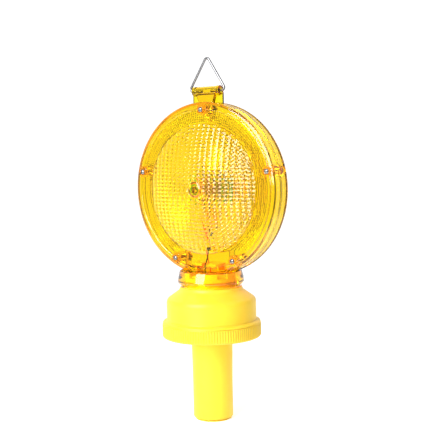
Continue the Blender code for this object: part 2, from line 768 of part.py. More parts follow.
def lens_half(name, side, rear):
    """One moulded half. Local Z points out from the seam and local Y is up."""
    body = turned(name, lens_outline(), "amber", side, steps=LENS_STEPS)
    neck, bore = neck_shapes(name, side)
    combine(body, neck, "UNION")
    barrel = cylinder(name + "_barrel", BARREL_R, -BARREL_LENGTH / 2, BARREL_LENGTH / 2,
                      parent=side, steps=16)
    combine(body, put(barrel, y=BARREL_Z, turn=(0, 90, 0)), "UNION")
    half_width, deep = REAR_WEB if rear else FRONT_WEB
    foot = CAVITY_R - 1.0
    reach = BARREL_Z - BARREL_R / 2 - foot
    web = box(name + "_web", (2 * half_width, reach, 2 * deep), parent=side)
    combine(body, put(web, y=foot + reach / 2), "UNION")
    seam = box(name + "_seam", (3 * HEAD_R, 3 * HEAD_R, 2 * NECK_WIDE_R), parent=side)
    combine(body, put(seam, z=SEAM / 2 - NECK_WIDE_R))
    combine(body, turned(name + "_cavity", cavity_outline(), parent=side, steps=LENS_STEPS))
    combine(body, bore)
    mouth_deep = FACE_DEPTH - LENS_WALL - GAP
    mouth = box(name + "_mouth", (2 * MOUTH_HALF, MOUTH_HEIGHT, 2 * mouth_deep), parent=side)
    combine(body, put(mouth, y=-NECK_TOP))
    for i, (_, x, y) in enumerate(ring_places(SCREW_RING_R, SCREW_ANGLES)):
        boss = cylinder(f"{name}_boss_{i + 1}", BOSS_R, SEAM, FACE_DEPTH - 1.0, parent=side,
                        steps=12)
        combine(body, put(boss, x, y), "UNION")
        if not rear:
            pad = cylinder(f"{name}_pad_{i + 1}", PAD_R, FACE_DEPTH - 1.5,
                           FACE_DEPTH + PAD_PROUD, parent=side, steps=16)
            combine(body, put(pad, x, y), "UNION")
    if rear:
        for end in (-1, 1):
            standoff = cylinder(f"{name}_standoff_{end}", STANDOFF_R, LED_BOARD[1] / 2 + GAP,
                                DOME_DEPTH - 1.4, parent=side, steps=16)
            combine(body, put(standoff, STANDOFF_X * end), "UNION")
            pilot = cylinder(f"{name}_pilot_{end}", LED_SCREW[0] + GAP, -CUT,
                             LED_SCREW[1] + 2.0, parent=side, steps=12)
            combine(body, put(pilot, STANDOFF_X * end))
    wire_bore = cylinder(name + "_wire_bore", BAIL_WIRE_R + TURN_GAP, -BARREL_LENGTH,
                         BARREL_LENGTH, parent=side, steps=13)
    combine(body, put(wire_bore, y=BARREL_Z, turn=(0, 90, 0)))
    top = SCREW_LENGTH - FACE_DEPTH - PAD_PROUD + 1.2 if rear else FACE_DEPTH + CUT
    for i, (_, x, y) in enumerate(ring_places(SCREW_RING_R, SCREW_ANGLES)):
        hole = cylinder(f"{name}_hole_{i + 1}", SCREW_R + GAP, -CUT, top, parent=side, steps=10)
        combine(body, put(hole, x, y, turn=(0, 0, HOLE_TURN)))


def lens_screws(side):
    seat = FACE_DEPTH + PAD_PROUD + GAP
    outline = [
        (0.0, seat + SCREW_HEAD),
        (SCREW_HEAD_R * 0.55, seat + SCREW_HEAD * 0.92),
        (SCREW_HEAD_R * 0.9, seat + SCREW_HEAD * 0.6),
        (SCREW_HEAD_R, seat),
        (SCREW_R, seat),
        (SCREW_R, seat - SCREW_LENGTH + 1.0),
        (0.0, seat - SCREW_LENGTH),
    ]
    for label, (_, x, y) in zip(SCREW_NAMES, ring_places(SCREW_RING_R, SCREW_ANGLES)):
        screw = put(turned("lens_screw_" + label, outline, "steel", side, steps=20), x, y)
        for turn in (0, 90):
            slot = box(f"drive_{label}_{turn}", (0.7, 2 * 1.7, 2.0), parent=side)
            combine(screw, put(slot, x, y, seat + SCREW_HEAD, (0, 0, turn + 30)))


def bail_wire(parent):
    corners = [
        (BARREL_LENGTH / 2 - BAIL_TAIL, 0.0, 0.0),
        (BAIL_HALF, 0.0, BAIL_CORNER),
        (0.0, BAIL_HEIGHT, BAIL_APEX),
        (-BAIL_HALF, 0.0, BAIL_CORNER),
        (BAIL_TAIL - BARREL_LENGTH / 2, 0.0, 0.0),
    ]
    tube("bail_wire", rounded(corners), BAIL_WIRE_R, "steel", parent, sides=3)


def led_board(parent):
    wide, thick, tall = LED_BOARD
    board = put(box("led_board", (wide, thick, tall), "board", parent), z=HEAD_Z)
    core, length = LED_SCREW
    for end in (-1, 1):
        hole = cylinder(f"led_hole_{end}", core + GAP, -CUT, CUT, parent=parent, steps=12)
        combine(board, put(hole, STANDOFF_X * end, 0.0, HEAD_Z, (90, 0, 0)))
        screw = [(0.0, 1.4), (core + 0.2, 1.2), (2 * core, 0.0), (core, 0.0), (core, -length),
                 (0.0, -length - 0.8)]
        name = "led_screw_left" if end < 0 else "led_screw_right"
        made = turned(name, screw, "steel", parent, steps=16)
        put(made, STANDOFF_X * end, -thick / 2 - GAP, HEAD_Z, (90, 0, 0))
    for name, turn, front in (("led_front", 90, -1), ("led_rear", -90, 1)):
        outline = [
            (0.0, LED_HEIGHT),
            (LED_R * 0.5, LED_HEIGHT - 0.35),
            (LED_R * 0.87, LED_HEIGHT - 1.25),
            (LED_R, LED_HEIGHT - LED_R),
            (LED_R, 1.0),
            (LED_R + 0.4, 1.0),
            (LED_R + 0.4, 0.0),
            (0.0, 0.0),
        ]
        lamp = turned(name, outline, "clear", parent, steps=20)
        put(lamp, 0.0, front * (thick / 2 + GAP), HEAD_Z, (turn, 0, 0))


def wire_guide(parent):
    """Flat bridge in the head's mouth that the wires run past."""
    top = HEAD_Z - GUIDE_TOP
    guide = cylinder("wire_guide", GUIDE_R, top - GUIDE_THICK, top, "amber", parent, steps=40)
    trim = box("guide_trim", (60.0, 2 * GUIDE_HALF, 20.0), parent=parent)
    combine(guide, put(trim, z=top), "INTERSECT")
    floor = HEAD_Z - math.sqrt(CAVITY_R**2 - MOUTH_HALF**2) + 1.0
    leg_height = top - 1.0 - floor
    for side in (-1, 1):
        leg = box(f"guide_leg_{side}", (1.8, 12.0, leg_height), parent=parent)
        combine(guide, put(leg, side * (MOUTH_HALF + 1.0), 0.0, floor + leg_height / 2), "UNION")
    slot = box("guide_slot", (GUIDE_SLOT, GUIDE_SLOT, 20.0), parent=parent)
    combine(guide, put(slot, 0.0, 2.0 - GUIDE_HALF, top))


def head_wires(parent):
    """Two leads from the light board, crossed in the window, down to the plug on the axis."""
    start = HEAD_Z - LED_BOARD[2] / 2 - GAP - WIRE_R
    end = BOARD_TOP_Z + 3 * GAP + HEADER[2] + WIRE_PLUG[2] + 0.1
    window = HEAD_Z - NECK_TOP
    for name, finish, side in (("red_wire", "red", 1), ("black_wire", "black", -1)):
        depth = -3.6 if side > 0 else -5.6
        route = [
            (-3.0 * side, -0.6 * side, start),
            (-3.6 * side, -2.0, start - 14.0),
            (-4.2 * side, depth, start - 36.0),
            (-1.6 * side, depth, window + 18.6),
            (0.0, depth, window + 11.6),
            (3.2 * side, -5.0, window + 3.6),
            (3.4 * side, -3.4, window - 1.9),
            (1.6 * side, -0.5, window - 7.4),
            (1.5 * side, 0.0, end),
        ]
        tube(name, smooth_path(route), WIRE_R, finish, parent, sides=1)


def build():
    base_axis = pivot("base_axis")
    head_axis = pivot("head_axis", parent=base_axis)
    bail_axis = pivot("bail_axis", HEAD_Z + BARREL_Z, parent=head_axis)
    front_side = pivot("front_side", HEAD_Z, (90, 0, 0), head_axis)
    rear_side = pivot("rear_side", HEAD_Z, (90, 0, 180), head_axis)

    battery_tube()
    tube_plug()
    contact_spring()
    negative_strip()
    contact_ring()
    d_cell("d_cell_lower", CELL_FOOT_Z)
    d_cell("d_cell_upper", CELL_FOOT_Z + CELL_LENGTH + GAP)

    cap_gasket()
    base_housing(base_axis)
    neck_deck(base_axis)
    control_board(base_axis)
    switch(base_axis)
    battery_contacts(base_axis)

    lens_half("front_lens", front_side, rear=False)
    lens_half("rear_lens", rear_side, rear=True)
    lens_screws(front_side)
    bail_wire(bail_axis)
    led_board(head_axis)
    wire_guide(head_axis)
    head_wires(head_axis)


clear_scene()
PARTS = collection("warning_lamp")
CUTTERS = collection("cutters")
build()
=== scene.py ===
"""The looks of a twin-lens warning lamp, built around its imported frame.

Outlines are in millimetres, as (radius, height) from the top down unless a docstring says
otherwise, and become metres where a mesh is made. The front lens faces -Y.
"""

import math

import bmesh
import bpy
from mathutils import Matrix, Vector
from mathutils.geometry import intersect_point_line


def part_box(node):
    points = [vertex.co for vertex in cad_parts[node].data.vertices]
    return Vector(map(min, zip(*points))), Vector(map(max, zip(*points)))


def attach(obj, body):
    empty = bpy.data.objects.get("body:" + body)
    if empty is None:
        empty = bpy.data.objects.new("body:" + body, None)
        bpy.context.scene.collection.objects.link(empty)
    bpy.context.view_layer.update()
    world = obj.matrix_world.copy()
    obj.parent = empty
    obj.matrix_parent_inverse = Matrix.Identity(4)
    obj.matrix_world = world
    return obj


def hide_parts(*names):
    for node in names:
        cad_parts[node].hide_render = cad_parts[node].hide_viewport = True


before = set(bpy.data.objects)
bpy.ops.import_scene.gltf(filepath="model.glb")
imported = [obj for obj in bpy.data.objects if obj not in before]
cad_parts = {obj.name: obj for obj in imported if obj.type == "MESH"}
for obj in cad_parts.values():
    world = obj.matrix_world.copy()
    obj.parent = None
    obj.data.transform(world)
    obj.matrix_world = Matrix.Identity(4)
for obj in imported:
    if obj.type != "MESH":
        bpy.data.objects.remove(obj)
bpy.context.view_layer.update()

bl_info = {
    "name": "Warning Lamp",
    "version": (1, 0, 0),
    "blender": (4, 5, 0),
    "location": "3D View > Sidebar > Lamp",
    "description": "Builds the pieces and finishes of a barricade warning lamp",
    "category": "Add Mesh",
}

MM = 0.001


def top(node):
    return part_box(node)[1].z / MM


def foot(node):
    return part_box(node)[0].z / MM


def reach(node):
    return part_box(node)[1].x / MM


def room(node):
    """The centre and size of a node's box."""
    low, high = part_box(node)
    return (low + high) / 2 / MM, (high - low) / MM


# The wire's barrel, and places that the frame gives
BARREL_R = 5.3
HEAD_Z = (top("led_board") + foot("led_board")) / 2
HEAD_R = reach("front_lens")
BARREL_Z = top("front_lens") - BARREL_R - HEAD_Z
TOWER_TOP_Z = top("base_housing")
SKIRT_FOOT_Z = foot("base_housing")
COLLAR_FLOOR_Z = foot("cap_gasket") - 0.3
SPIGOT_FOOT_Z = foot("battery_tube")
SLEEVE_TOP_Z = top("battery_tube")
BOARD_Z = foot("control_board")
CELL_R = reach("d_cell_upper")

# Base, from the tower's top down
TOWER_R = 29.5
TOWER_BORE_R = 26.9
WAIST_R = 33.4
WAIST_Z = TOWER_TOP_Z - 15.4
GROOVE_Z = WAIST_Z + 3.4
BOWL_R = 48.55
SHOULDER_Z = WAIST_Z - 18.6
FLANGE_R = reach("base_housing")
FLANGE_Z = SKIRT_FOOT_Z + 10.0
LEDGE_Z = FLANGE_Z + 4.3
SKIRT_R = 49.6
BASE_WALL = 2.5
DECK_Z = foot("neck_deck")

# Collar and spigot
COLLAR_R = 53.1
COLLAR_BORE_R = 50.8
COLLAR_Z = COLLAR_FLOOR_Z - 3.0
COLLAR_TOP_Z = COLLAR_Z + 14.9
SPIGOT_R = 21.65
SPIGOT_BORE_R = 19.2
SLEEVE_R = 21.2
PLUG_R = 19.65
PLUG_FLOOR = 1.7

# Lens halves, with depths from the seam and heights from the lens centre
CREST_R = HEAD_R - 6.0
FACE_DEPTH = 12.7
PATTERN_R = HEAD_R - 22.5
DOME_DEPTH = 26.4
BEAD_R = 8.5
CONDENSER_DEPTH = 6.5
WALL = 2.4
SEAM = 0.15
CAVITY_R = HEAD_R - 3.1
WINDOW_TOP = -65.0
NECK_TOP = HEAD_R - 4.9
NECK_BOTTOM = NECK_TOP + 17.4
NECK_WIDE = NECK_TOP + 11.9
SCREW_RING_R = HEAD_R - 8.1
SCREWS = {"top": 90.0, "right": 12.8, "left": 167.2, "low_right": -63.3, "low_left": -116.7}
SEAT = FACE_DEPTH + 0.6
BARREL_LENGTH = 35.0
DOME_RISE = DOME_DEPTH - FACE_DEPTH - 1.0
DOME_SPHERE = (PATTERN_R**2 + DOME_RISE**2) / (2 * DOME_RISE)
INNER_R = PATTERN_R - 1.0
BEAD_RISE = 1.6

# Fineness of the meshes
LENS_STEPS = 192
BEAD_STEPS = 48
PILLOW_COLUMNS, PILLOW_ROWS = 6, 4
WELD = 0.01 * MM

# Inside the lamp
LIGHT_SCREW_X = 12.5
BOARD_SCREW_X = 28.0
SENSOR_Y = -17.0
CELL_HEIGHT = 61.8
THREAD_TURNS, THREAD_RISE, THREAD_R = 1.5, 6.0, 1.0


# Sizes and colours a user would change


def length(name, text, default):
    return bpy.props.FloatProperty(
        name=name, description=text, default=default * MM, unit="LENGTH", min=0.0, precision=5
    )


def colour(name, text, default):
    return bpy.props.FloatVectorProperty(
        name=name, description=text, default=default, subtype="COLOR", size=3, min=0.0, max=1.0
    )


class LampSizes(bpy.types.PropertyGroup):
    pillow_width: length("Pillow width", "Width of one lens pillow", 6.6)
    pillow_height: length("Pillow height", "Height of one lens pillow", 4.1)
    pillow_rise: length("Pillow rise", "How far a pillow's middle stands proud", 0.8)
    ring_pitch: length("Ring pitch", "Spacing of the rings inside the lens", 3.5)
    ring_depth: length("Ring depth", "Depth of each ring's step", 1.7)
    facet_pitch: length("Facet pitch", "Spacing of the small pyramids round the pattern", 2.4)
    facet_depth: length("Facet depth", "Height of the small pyramids", 0.45)
    bail_wire: length("Bail wire", "Radius of the bail's wire", 1.35)
    lead_wire: length("Lead wire", "Radius of a lead with its insulation", 0.65)
    knurl_rise: length("Knurl rise", "How far a collar rib stands proud", 0.55)
    knurl_ribs: bpy.props.IntProperty(
        name="Knurl ribs", description="Ribs round the collar", default=116, min=12
    )


class LampColours(bpy.types.PropertyGroup):
    amber: colour("Amber", "Surface tint of the clear amber plastic", (1.0, 0.915, 0.06))
    depth: colour("Amber depth", "What thick amber plastic lets through", (1.0, 0.948, 0.0))
    housing: colour("Housing", "Moulded yellow plastic", (0.95, 0.63, 0.03))
    zinc: colour("Zinc", "Plated steel", (0.3, 0.3, 0.3))
    brass: colour("Brass", "Contact strips", (0.83, 0.62, 0.25))
    board: colour("Board", "Circuit board lacquer", (0.02, 0.22, 0.06))
    red: colour("Red lead", "Insulation of the feed lead", (0.62, 0.03, 0.02))


# Mesh code


def rounded(points, segments=4):
    """An outline with each corner (a, b, cut) cut back that far and rounded."""
    made = []
    for i, point in enumerate(points):
        at = Vector(point[:2])
        if len(point) < 3:
            made.append(tuple(at))
            continue
        before, after = Vector(points[i - 1][:2]), Vector(points[(i + 1) % len(points)][:2])
        start = at + (before - at).normalized() * min(point[2], (before - at).length * 0.49)
        end = at + (after - at).normalized() * min(point[2], (after - at).length * 0.49)
        for k in range(segments + 1):
            t = k / segments
            made.append(tuple(start * (1 - t) ** 2 + at * 2 * t * (1 - t) + end * t * t))
    return made


def arc(centre, radius, first, last, segments=8):
    """Points round part of a circle, angles in degrees."""
    turns = [math.radians(first + (last - first) * k / segments) for k in range(segments + 1)]
    return [(centre[0] + radius * math.cos(t), centre[1] + radius * math.sin(t)) for t in turns]


def polar(r, turn, z):
    return (r * math.cos(turn), r * math.sin(turn), z)


def loop_of(shape, steps, point):
    """Corners at point(turn), in millimetres, for equal turns round a circle."""
    turns = (2 * math.pi * k / steps for k in range(steps))
    return [shape.verts.new([c * MM for c in point(turn)]) for turn in turns]


def skin(shape, loops, ring=False, cap=False):
    """shape with faces from each loop to the next. A loop of one corner is a tip."""
    steps = max(len(loop) for loop in loops)
    for a, b in list(zip(loops, loops[1:])) + ([(loops[-1], loops[0])] if ring else []):
        for k in range(steps):
            n = (k + 1) % steps
            corners = [a[k % len(a)], a[n % len(a)], b[n % len(b)], b[k % len(b)]]
            shape.faces.new(list(dict.fromkeys(corners)))
    if cap:
        for loop in (loops[0], loops[-1]):
            if len(loop) > 1:
                shape.faces.new(loop)
    return shape


def outward(shape):
    bmesh.ops.recalc_face_normals(shape, faces=shape.faces)
    return shape


def lathe(outline, steps=128, ring=False, cap=False, shift=None):
    """A bmesh turned about Z. An open outline ends on the axis, or in flat caps with cap."""
    shape = bmesh.new()
    loops = []
    for r, z in outline:
        if r < 1e-6:
            loops.append([shape.verts.new((0.0, 0.0, z * MM))])
            continue
        loops.append(loop_of(
            shape, steps, lambda turn: polar(r + (shift(r, z, turn) if shift else 0.0), turn, z)
        ))
    return outward(skin(shape, loops, ring, cap))


def rod(r, high, low, steps):
    return lathe([(0.0, high), (r, high), (r, low), (0.0, low)], steps)


def block(size, place=(0.0, 0.0, 0.0), turn=0.0, bevel=0.0, segments=2, taper=1.0):
    """A box with rounded edges. taper scales its top in X."""
    shape = bmesh.new()
    bmesh.ops.create_cube(shape, size=1.0)
    for v in shape.verts:
        v.co = Vector([c * s * MM for c, s in zip(v.co, size)])
        v.co.x *= taper if v.co.z > 0 else 1.0
    if bevel:
        bmesh.ops.bevel(shape, geom=shape.edges, offset=bevel * MM, segments=segments,
                        profile=0.5, affect="EDGES")
    spin = Matrix.Rotation(math.radians(turn), 4, "Z")
    shape.transform(Matrix.Translation([c * MM for c in place]) @ spin)
    return shape


def sweep(path, radius, sides=12):
    """A round wire along points in millimetres, with softened ends."""
    points = [Vector(p) for p in path]
    shape = bmesh.new()
    loops = []
    normal = None
    count = len(points)
    for i, at in enumerate(points):
        along = (points[min(i + 1, count - 1)] - points[max(i - 1, 0)]).normalized()
        if normal is None:
            normal = along.orthogonal().normalized()
        normal = (normal - along * normal.dot(along)).normalized()
        side = along.cross(normal)
        rims = [(0.0, 1.0)]
        if i == 0:
            rims = [(0.0, 0.6), (0.25, 1.0)]
        if i == count - 1:
            rims = [(-0.25, 1.0), (0.0, 0.6)]
        for offset, scale in rims:
            middle = at + along * offset * radius
            loops.append(loop_of(shape, sides, lambda turn: middle + (
                normal * math.cos(turn) + side * math.sin(turn)) * radius * scale))
    return outward(skin(shape, loops, cap=True))


def helix(radius_low, radius_high, low, high, turns, per_turn):
    count = round(turns * per_turn)
    path = []
    for i in range(count + 1):
        share = i / count
        turn = 2 * math.pi * turns * share
        radius = radius_low + (radius_high - radius_low) * share
        path.append(polar(radius, turn, low + (high - low) * share))
    return path


def screw_ridge(r, low):
    """The round ridge that makes the thread between bowl and collar."""
    return sweep(helix(r, r, low, low + THREAD_RISE, THREAD_TURNS, 96), THREAD_R, 10)


def smooth_path(points, per_span=10):
    """A Catmull-Rom curve through points."""
    ends = [points[0], *points, points[-1]]
    path = []
    for a, b, c, d in zip(ends, ends[1:], ends[2:], ends[3:]):
        for k in range(per_span):
            t = k / per_span
            path.append(tuple(
                0.5 * (2 * q + (r - p) * t + (2 * p - 5 * q + 4 * r - s) * t * t
                       + (3 * q - p - 3 * r + s) * t**3)
                for p, q, r, s in zip(a, b, c, d)
            ))
    path.append(tuple(points[-1]))
    return path


def placed(shape, x=0.0, y=0.0, z=0.0, turn=(0.0, 0.0, 0.0)):
    """shape turned about X, Y, Z in degrees and moved in millimetres."""
    spin = Matrix.Identity(4)
    for angle, axis in zip(turn, "XYZ"):
        spin = Matrix.Rotation(math.radians(angle), 4, axis) @ spin
    shape.transform(Matrix.Translation((x * MM, y * MM, z * MM)) @ spin)
    return shape


def mesh_of(name, shape):
    mesh = bpy.data.meshes.new(name)
    shape.to_mesh(mesh)
    shape.free()
    return mesh


def linked(name, data):
    made = bpy.data.objects.new(name, data)
    bpy.context.scene.collection.objects.link(made)
    return made


def merged(*shapes):
    """Several bmeshes as one, without cutting them into each other."""
    whole = shapes[0]
    for other in shapes[1:]:
        mesh = mesh_of("part", other)
        whole.from_mesh(mesh)
        bpy.data.meshes.remove(mesh)
    return whole


def cut(shape, *steps):
    """shape after exact Booleans with (operation, bmesh) pairs, done in order."""
    holder = linked("work", mesh_of("work", shape))
    tools = [linked("tool", mesh_of("tool", other)) for _, other in steps]
    for (operation, _), tool in zip(steps, tools):
        step = holder.modifiers.new("Cut", "BOOLEAN")
        step.operation, step.object, step.solver = operation, tool, "EXACT"
    bpy.context.view_layer.update()
    done = bmesh.new()
    done.from_object(holder, bpy.context.evaluated_depsgraph_get())
    for ob in [holder, *tools]:
        mesh = ob.data
        bpy.data.objects.remove(ob, do_unlink=True)
        bpy.data.meshes.remove(mesh)
    return done


def piece(name, shape, material, body, nodes=(), sharp=30.0):
    """A finished object: smooth shaded, riding on its body, standing for its CAD nodes."""
    for face in shape.faces:
        face.smooth = True
    mesh = mesh_of(name, shape)
    mesh.set_sharp_from_angle(angle=math.radians(sharp))
    mesh.materials.append(material)
    made = linked(name, mesh)
    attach(made, body)
    if nodes:
        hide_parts(*([nodes] if isinstance(nodes, str) else nodes))
    return made


def dress(material, *nodes):
    """CAD nodes that keep their shape, in a better finish."""
    for name in nodes:
        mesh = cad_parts[name].data
        mesh.materials.clear()
        mesh.materials.append(material)


# Shader code


def add_node(tree, kind, **settings):
    made = tree.nodes.new(kind)
    for key, value in settings.items():
        setattr(made, key, value)
    return made


def feed(tree, target, value):
    if isinstance(value, bpy.types.NodeSocket):
        tree.links.new(value, target)
    else:
        target.default_value = value


def settle(tree, node, values):
    """Sets or links a node's inputs by their names, and returns the node."""
    for label, value in values.items():
        feed(tree, node.inputs[label], value)
    return node


def calc(tree, operation, *values, clamp=False):
    made = add_node(tree, "ShaderNodeMath", operation=operation, use_clamp=clamp)
    for target, value in zip(made.inputs, values):
        feed(tree, target, value)
    return made.outputs[0]


def remap(tree, value, low, high, to_low=0.0, to_high=1.0):
    made = add_node(tree, "ShaderNodeMapRange", interpolation_type="SMOOTHSTEP")
    for target, part in zip(made.inputs, (value, low, high, to_low, to_high)):
        feed(tree, target, part)
    return made.outputs[0]


def blend_colour(tree, factor, a, b):
    made = add_node(tree, "ShaderNodeMix", data_type="RGBA")
    for target, value in zip((made.inputs[0], made.inputs[6], made.inputs[7]), (factor, a, b)):
        feed(tree, target, value)
    return made.outputs[2]


def noise(tree, vector, scale, detail=3.0, rough=0.55):
    made = add_node(tree, "ShaderNodeTexNoise")
    settle(tree, made, {"Vector": vector, "Scale": scale, "Detail": detail, "Roughness": rough})
    return made.outputs["Fac"]


def times(tree, *values, clamp=False):
    """The product of two or more values, clamped at the end if asked."""
    product = values[0]
    for i, value in enumerate(values[1:], 2):
        product = calc(tree, "MULTIPLY", product, value, clamp=clamp and i == len(values))
    return product


def shader_group(name, inputs, outputs):
    """Makes build(tree, given), which returns the outputs' sockets, a shared shader group."""

    def wrap(build):
        def get():
            if name in bpy.data.node_groups:
                return bpy.data.node_groups[name]
            tree = bpy.data.node_groups.new(name, "ShaderNodeTree")
            socket = tree.interface.new_socket
            socket("Vector", in_out="INPUT", socket_type="NodeSocketVector")
            for label, default in inputs.items():
                socket(label, in_out="INPUT", socket_type="NodeSocketFloat").default_value = default
            for label in outputs:
                socket(label, in_out="OUTPUT", socket_type="NodeSocketFloat")
            given = add_node(tree, "NodeGroupInput").outputs
            out = add_node(tree, "NodeGroupOutput")
            settle(tree, out, dict(zip(outputs, build(tree, given))))
            return tree

        return get

    return wrap


@shader_group("Moulded Grain", {"Grain Scale": 900.0, "Grain Depth": 0.5, "Wave Scale": 40.0,
                                "Wave Depth": 0.5, "Gloss": 0.35, "Gloss Spread": 0.12},
              ("Height", "Roughness", "Mottle"))
def moulding_group(tree, given):
    """Fine grain and slow waviness of a moulded surface."""
    vector = given["Vector"]
    fine = times(tree, noise(tree, vector, given["Grain Scale"], 2.0, 0.5), given["Grain Depth"])
    slow = times(tree, noise(tree, vector, given["Wave Scale"], 1.0, 0.5), given["Wave Depth"])
    mottle = noise(tree, vector, 120.0, 4.0)
    spread = times(tree, calc(tree, "SUBTRACT", mottle, 0.5), given["Gloss Spread"])
    rough = calc(tree, "ADD", given["Gloss"], spread, clamp=True)
    return calc(tree, "ADD", fine, slow), rough, mottle


@shader_group("Edge Wear and Painted Shade", {"Start": 0.52, "End": 0.6, "Amount": 0.5, "Shade Depth": 0.6},
              ("Mask", "Hollow Shade"))
def wear_and_shade_group(tree, given):
    """Rubbed edges, and painted shade that darkens the hollows, from the surface's own curvature.
    """
    sharp = add_node(tree, "ShaderNodeNewGeometry").outputs["Pointiness"]
    edge = remap(tree, sharp, given["Start"], given["End"])
    patch = remap(tree, noise(tree, given["Vector"], 260.0, 5.0, 0.7), 0.4, 0.62)
    # Painted shade: hollows picked out by low pointiness, to be darkened in the colour
    hollow_shade = times(tree, remap(tree, sharp, 0.495, 0.45), given["Shade Depth"])
    return times(tree, edge, patch, given["Amount"], clamp=True), hollow_shade


@shader_group("Scuffs", {"Scale": 60.0, "Amount": 0.4}, ("Mask",))
def scuff_group(tree, given):
    """Thin scratches that run a little off the vertical."""
    stretch = settle(tree, add_node(tree, "ShaderNodeMapping"), {
        "Vector": given["Vector"], "Rotation": (0.3, 0.5, 0.4), "Scale": (9.0, 9.0, 0.8)})
    thin = remap(tree, noise(tree, stretch.outputs[0], given["Scale"], 2.0, 0.5), 0.66, 0.72)
    where = remap(tree, noise(tree, given["Vector"], 22.0, 2.0), 0.5, 0.68)
    return (times(tree, thin, where, given["Amount"]),)


@shader_group("Settled Dust", {"Amount": 0.12}, ("Mask",))
def dust_group(tree, given):
    """Dust that settles where a surface looks up."""
    facing = add_node(tree, "ShaderNodeSeparateXYZ")
    feed(tree, facing.inputs[0], add_node(tree, "ShaderNodeNewGeometry").outputs["Normal"])
    up = remap(tree, facing.outputs["Z"], 0.45, 0.95)
    patch = remap(tree, noise(tree, given["Vector"], 75.0, 6.0, 0.65), 0.38, 0.7)
    return (times(tree, up, patch, given["Amount"]),)


def use_group(tree, group, vector, **values):
    made = add_node(tree, "ShaderNodeGroup", node_tree=group())
    named = {label.replace("_", " ").title(): value for label, value in values.items()}
    return settle(tree, made, {"Vector": vector, **named}).outputs


def start_material(name):
    found = bpy.data.materials.new(name)
    found.use_nodes = True
    tree = found.node_tree
    vector = add_node(tree, "ShaderNodeTexCoord").outputs["Object"]
    return found, tree, tree.nodes["Principled BSDF"], vector


def bump(tree, height, depth):
    made = add_node(tree, "ShaderNodeBump")
    settle(tree, made, {"Distance": depth * MM, "Strength": 1.0, "Height": height})
    return made.outputs[0]


def layered(tree, base, *layers):
    """base under layers of (mask, amount, colour)."""
    for mask, amount, tint in layers:
        factor = mask if amount == 1.0 else times(tree, mask, amount)
        base = blend_colour(tree, factor, base, rgba(tint))
    return base


def rgba(colour_value):
    return (*colour_value, 1.0)


def once(build):
    """Builds a material the first time it's asked for, and returns it after that."""
    made = {}

    def get():
        if "it" not in made:
            made["it"] = build()
        return made["it"]

    return get


def colours():
    return bpy.context.scene.lamp_colours


def sizes():
    return bpy.context.scene.lamp_sizes


@once
def amber():
    """Clear amber plastic that darkens with its thickness."""
    made, tree, shader, vector = start_material("Amber Plastic")
    grain = use_group(tree, moulding_group, vector, grain_scale=700.0, grain_depth=0.15,
                      wave_scale=55.0, wave_depth=0.9, gloss=0.06, gloss_spread=0.05)
    scuffs = use_group(tree, scuff_group, vector, amount=0.35)
    dust = use_group(tree, dust_group, vector, amount=0.1)
    tint = tuple(colours().amber)
    deep = (tint[0], tint[1] * 0.93, tint[2] * 0.7)
    base = layered(tree, rgba(tint), (grain["Mottle"], 0.5, deep),
                   (dust["Mask"], 1.0, (0.9, 0.86, 0.76)))
    rough = calc(tree, "ADD", grain["Roughness"], times(tree, scuffs["Mask"], 0.3))
    settle(tree, shader, {
        "Base Color": base,
        "Roughness": calc(tree, "ADD", rough, dust["Mask"], clamp=True),
        "Normal": bump(tree, grain["Height"], 0.04),
        "Transmission Weight": 1.0,
        "IOR": 1.5,
    })
    clear = add_node(tree, "ShaderNodeBsdfTransparent")
    settle(tree, clear, {"Color": (1.0, 0.88, 0.35, 1.0)})
    mix = add_node(tree, "ShaderNodeMixShader")
    seen = add_node(tree, "ShaderNodeLightPath").outputs["Is Shadow Ray"]
    for target, value in zip(mix.inputs, (seen, shader.outputs[0], clear.outputs[0])):
        feed(tree, target, value)
    absorb = settle(tree, add_node(tree, "ShaderNodeVolumeAbsorption"),
                    {"Color": rgba(colours().depth), "Density": 600.0})
    settle(tree, tree.nodes["Material Output"],
           {"Surface": mix.outputs[0], "Volume": absorb.outputs[0]})
    return made


def solid(name, tint, gloss, metal=0.0, grain=0.25, worn=None, wear=0.3, dusty=0.1,
          grain_scale=900.0, spread=0.12, specular=0.5):
    """A finish of grain, mottled colour, scuffs, rubbed edges, painted shade in the hollows and
    dust, over one tint.
    """
    made, tree, shader, vector = start_material(name)
    moulded = use_group(tree, moulding_group, vector, grain_scale=grain_scale, grain_depth=grain,
                        gloss=gloss, gloss_spread=spread)
    scuffs = use_group(tree, scuff_group, vector, amount=0.35)
    edges = use_group(tree, wear_and_shade_group, vector, amount=wear)
    dust = use_group(tree, dust_group, vector, amount=dusty)
    lighter = worn or [min(1.0, c * 1.12 + 0.05) for c in tint]
    base = layered(
        tree, rgba(tint),
        (moulded["Mottle"], 0.6, [c * 0.86 for c in tint]), (scuffs["Mask"], 0.6, lighter),
        # Rubbed edges go lighter; painted shade darkens the hollows to half the tint
        (edges["Mask"], 1.0, lighter), (edges["Hollow Shade"], 1.0, [c * 0.5 for c in tint]),
        (dust["Mask"], 1.0, (0.72, 0.68, 0.6)),
    )
    rough = calc(tree, "ADD", moulded["Roughness"], times(tree, scuffs["Mask"], 0.25))
    settle(tree, shader, {
        "Base Color": base,
        "Roughness": calc(tree, "ADD", rough, dust["Mask"], clamp=True),
        "Metallic": metal,
        "Specular IOR Level": specular,
        "Normal": bump(tree, moulded["Height"], 0.06),
    })
    return made


def plain(name, tint, *values, **settings):
    """A solid finish that is made when it's first asked for. tint may name a panel colour."""
    return once(lambda: solid(
        name, getattr(colours(), tint) if isinstance(tint, str) else tint, *values, **settings
    ))


@once
def housing():
    made = solid("Yellow Housing Plastic", colours().housing, 0.4, grain=0.5,
                 worn=(1.0, 0.68, 0.06), wear=0.35, dusty=0.04, specular=0.35)
    tree = made.node_tree
    settle(tree, tree.nodes["Principled BSDF"], {
        "Subsurface Weight": 0.12, "Subsurface Radius": (1.0, 0.6, 0.1),
        "Subsurface Scale": 2.0 * MM})
    return made


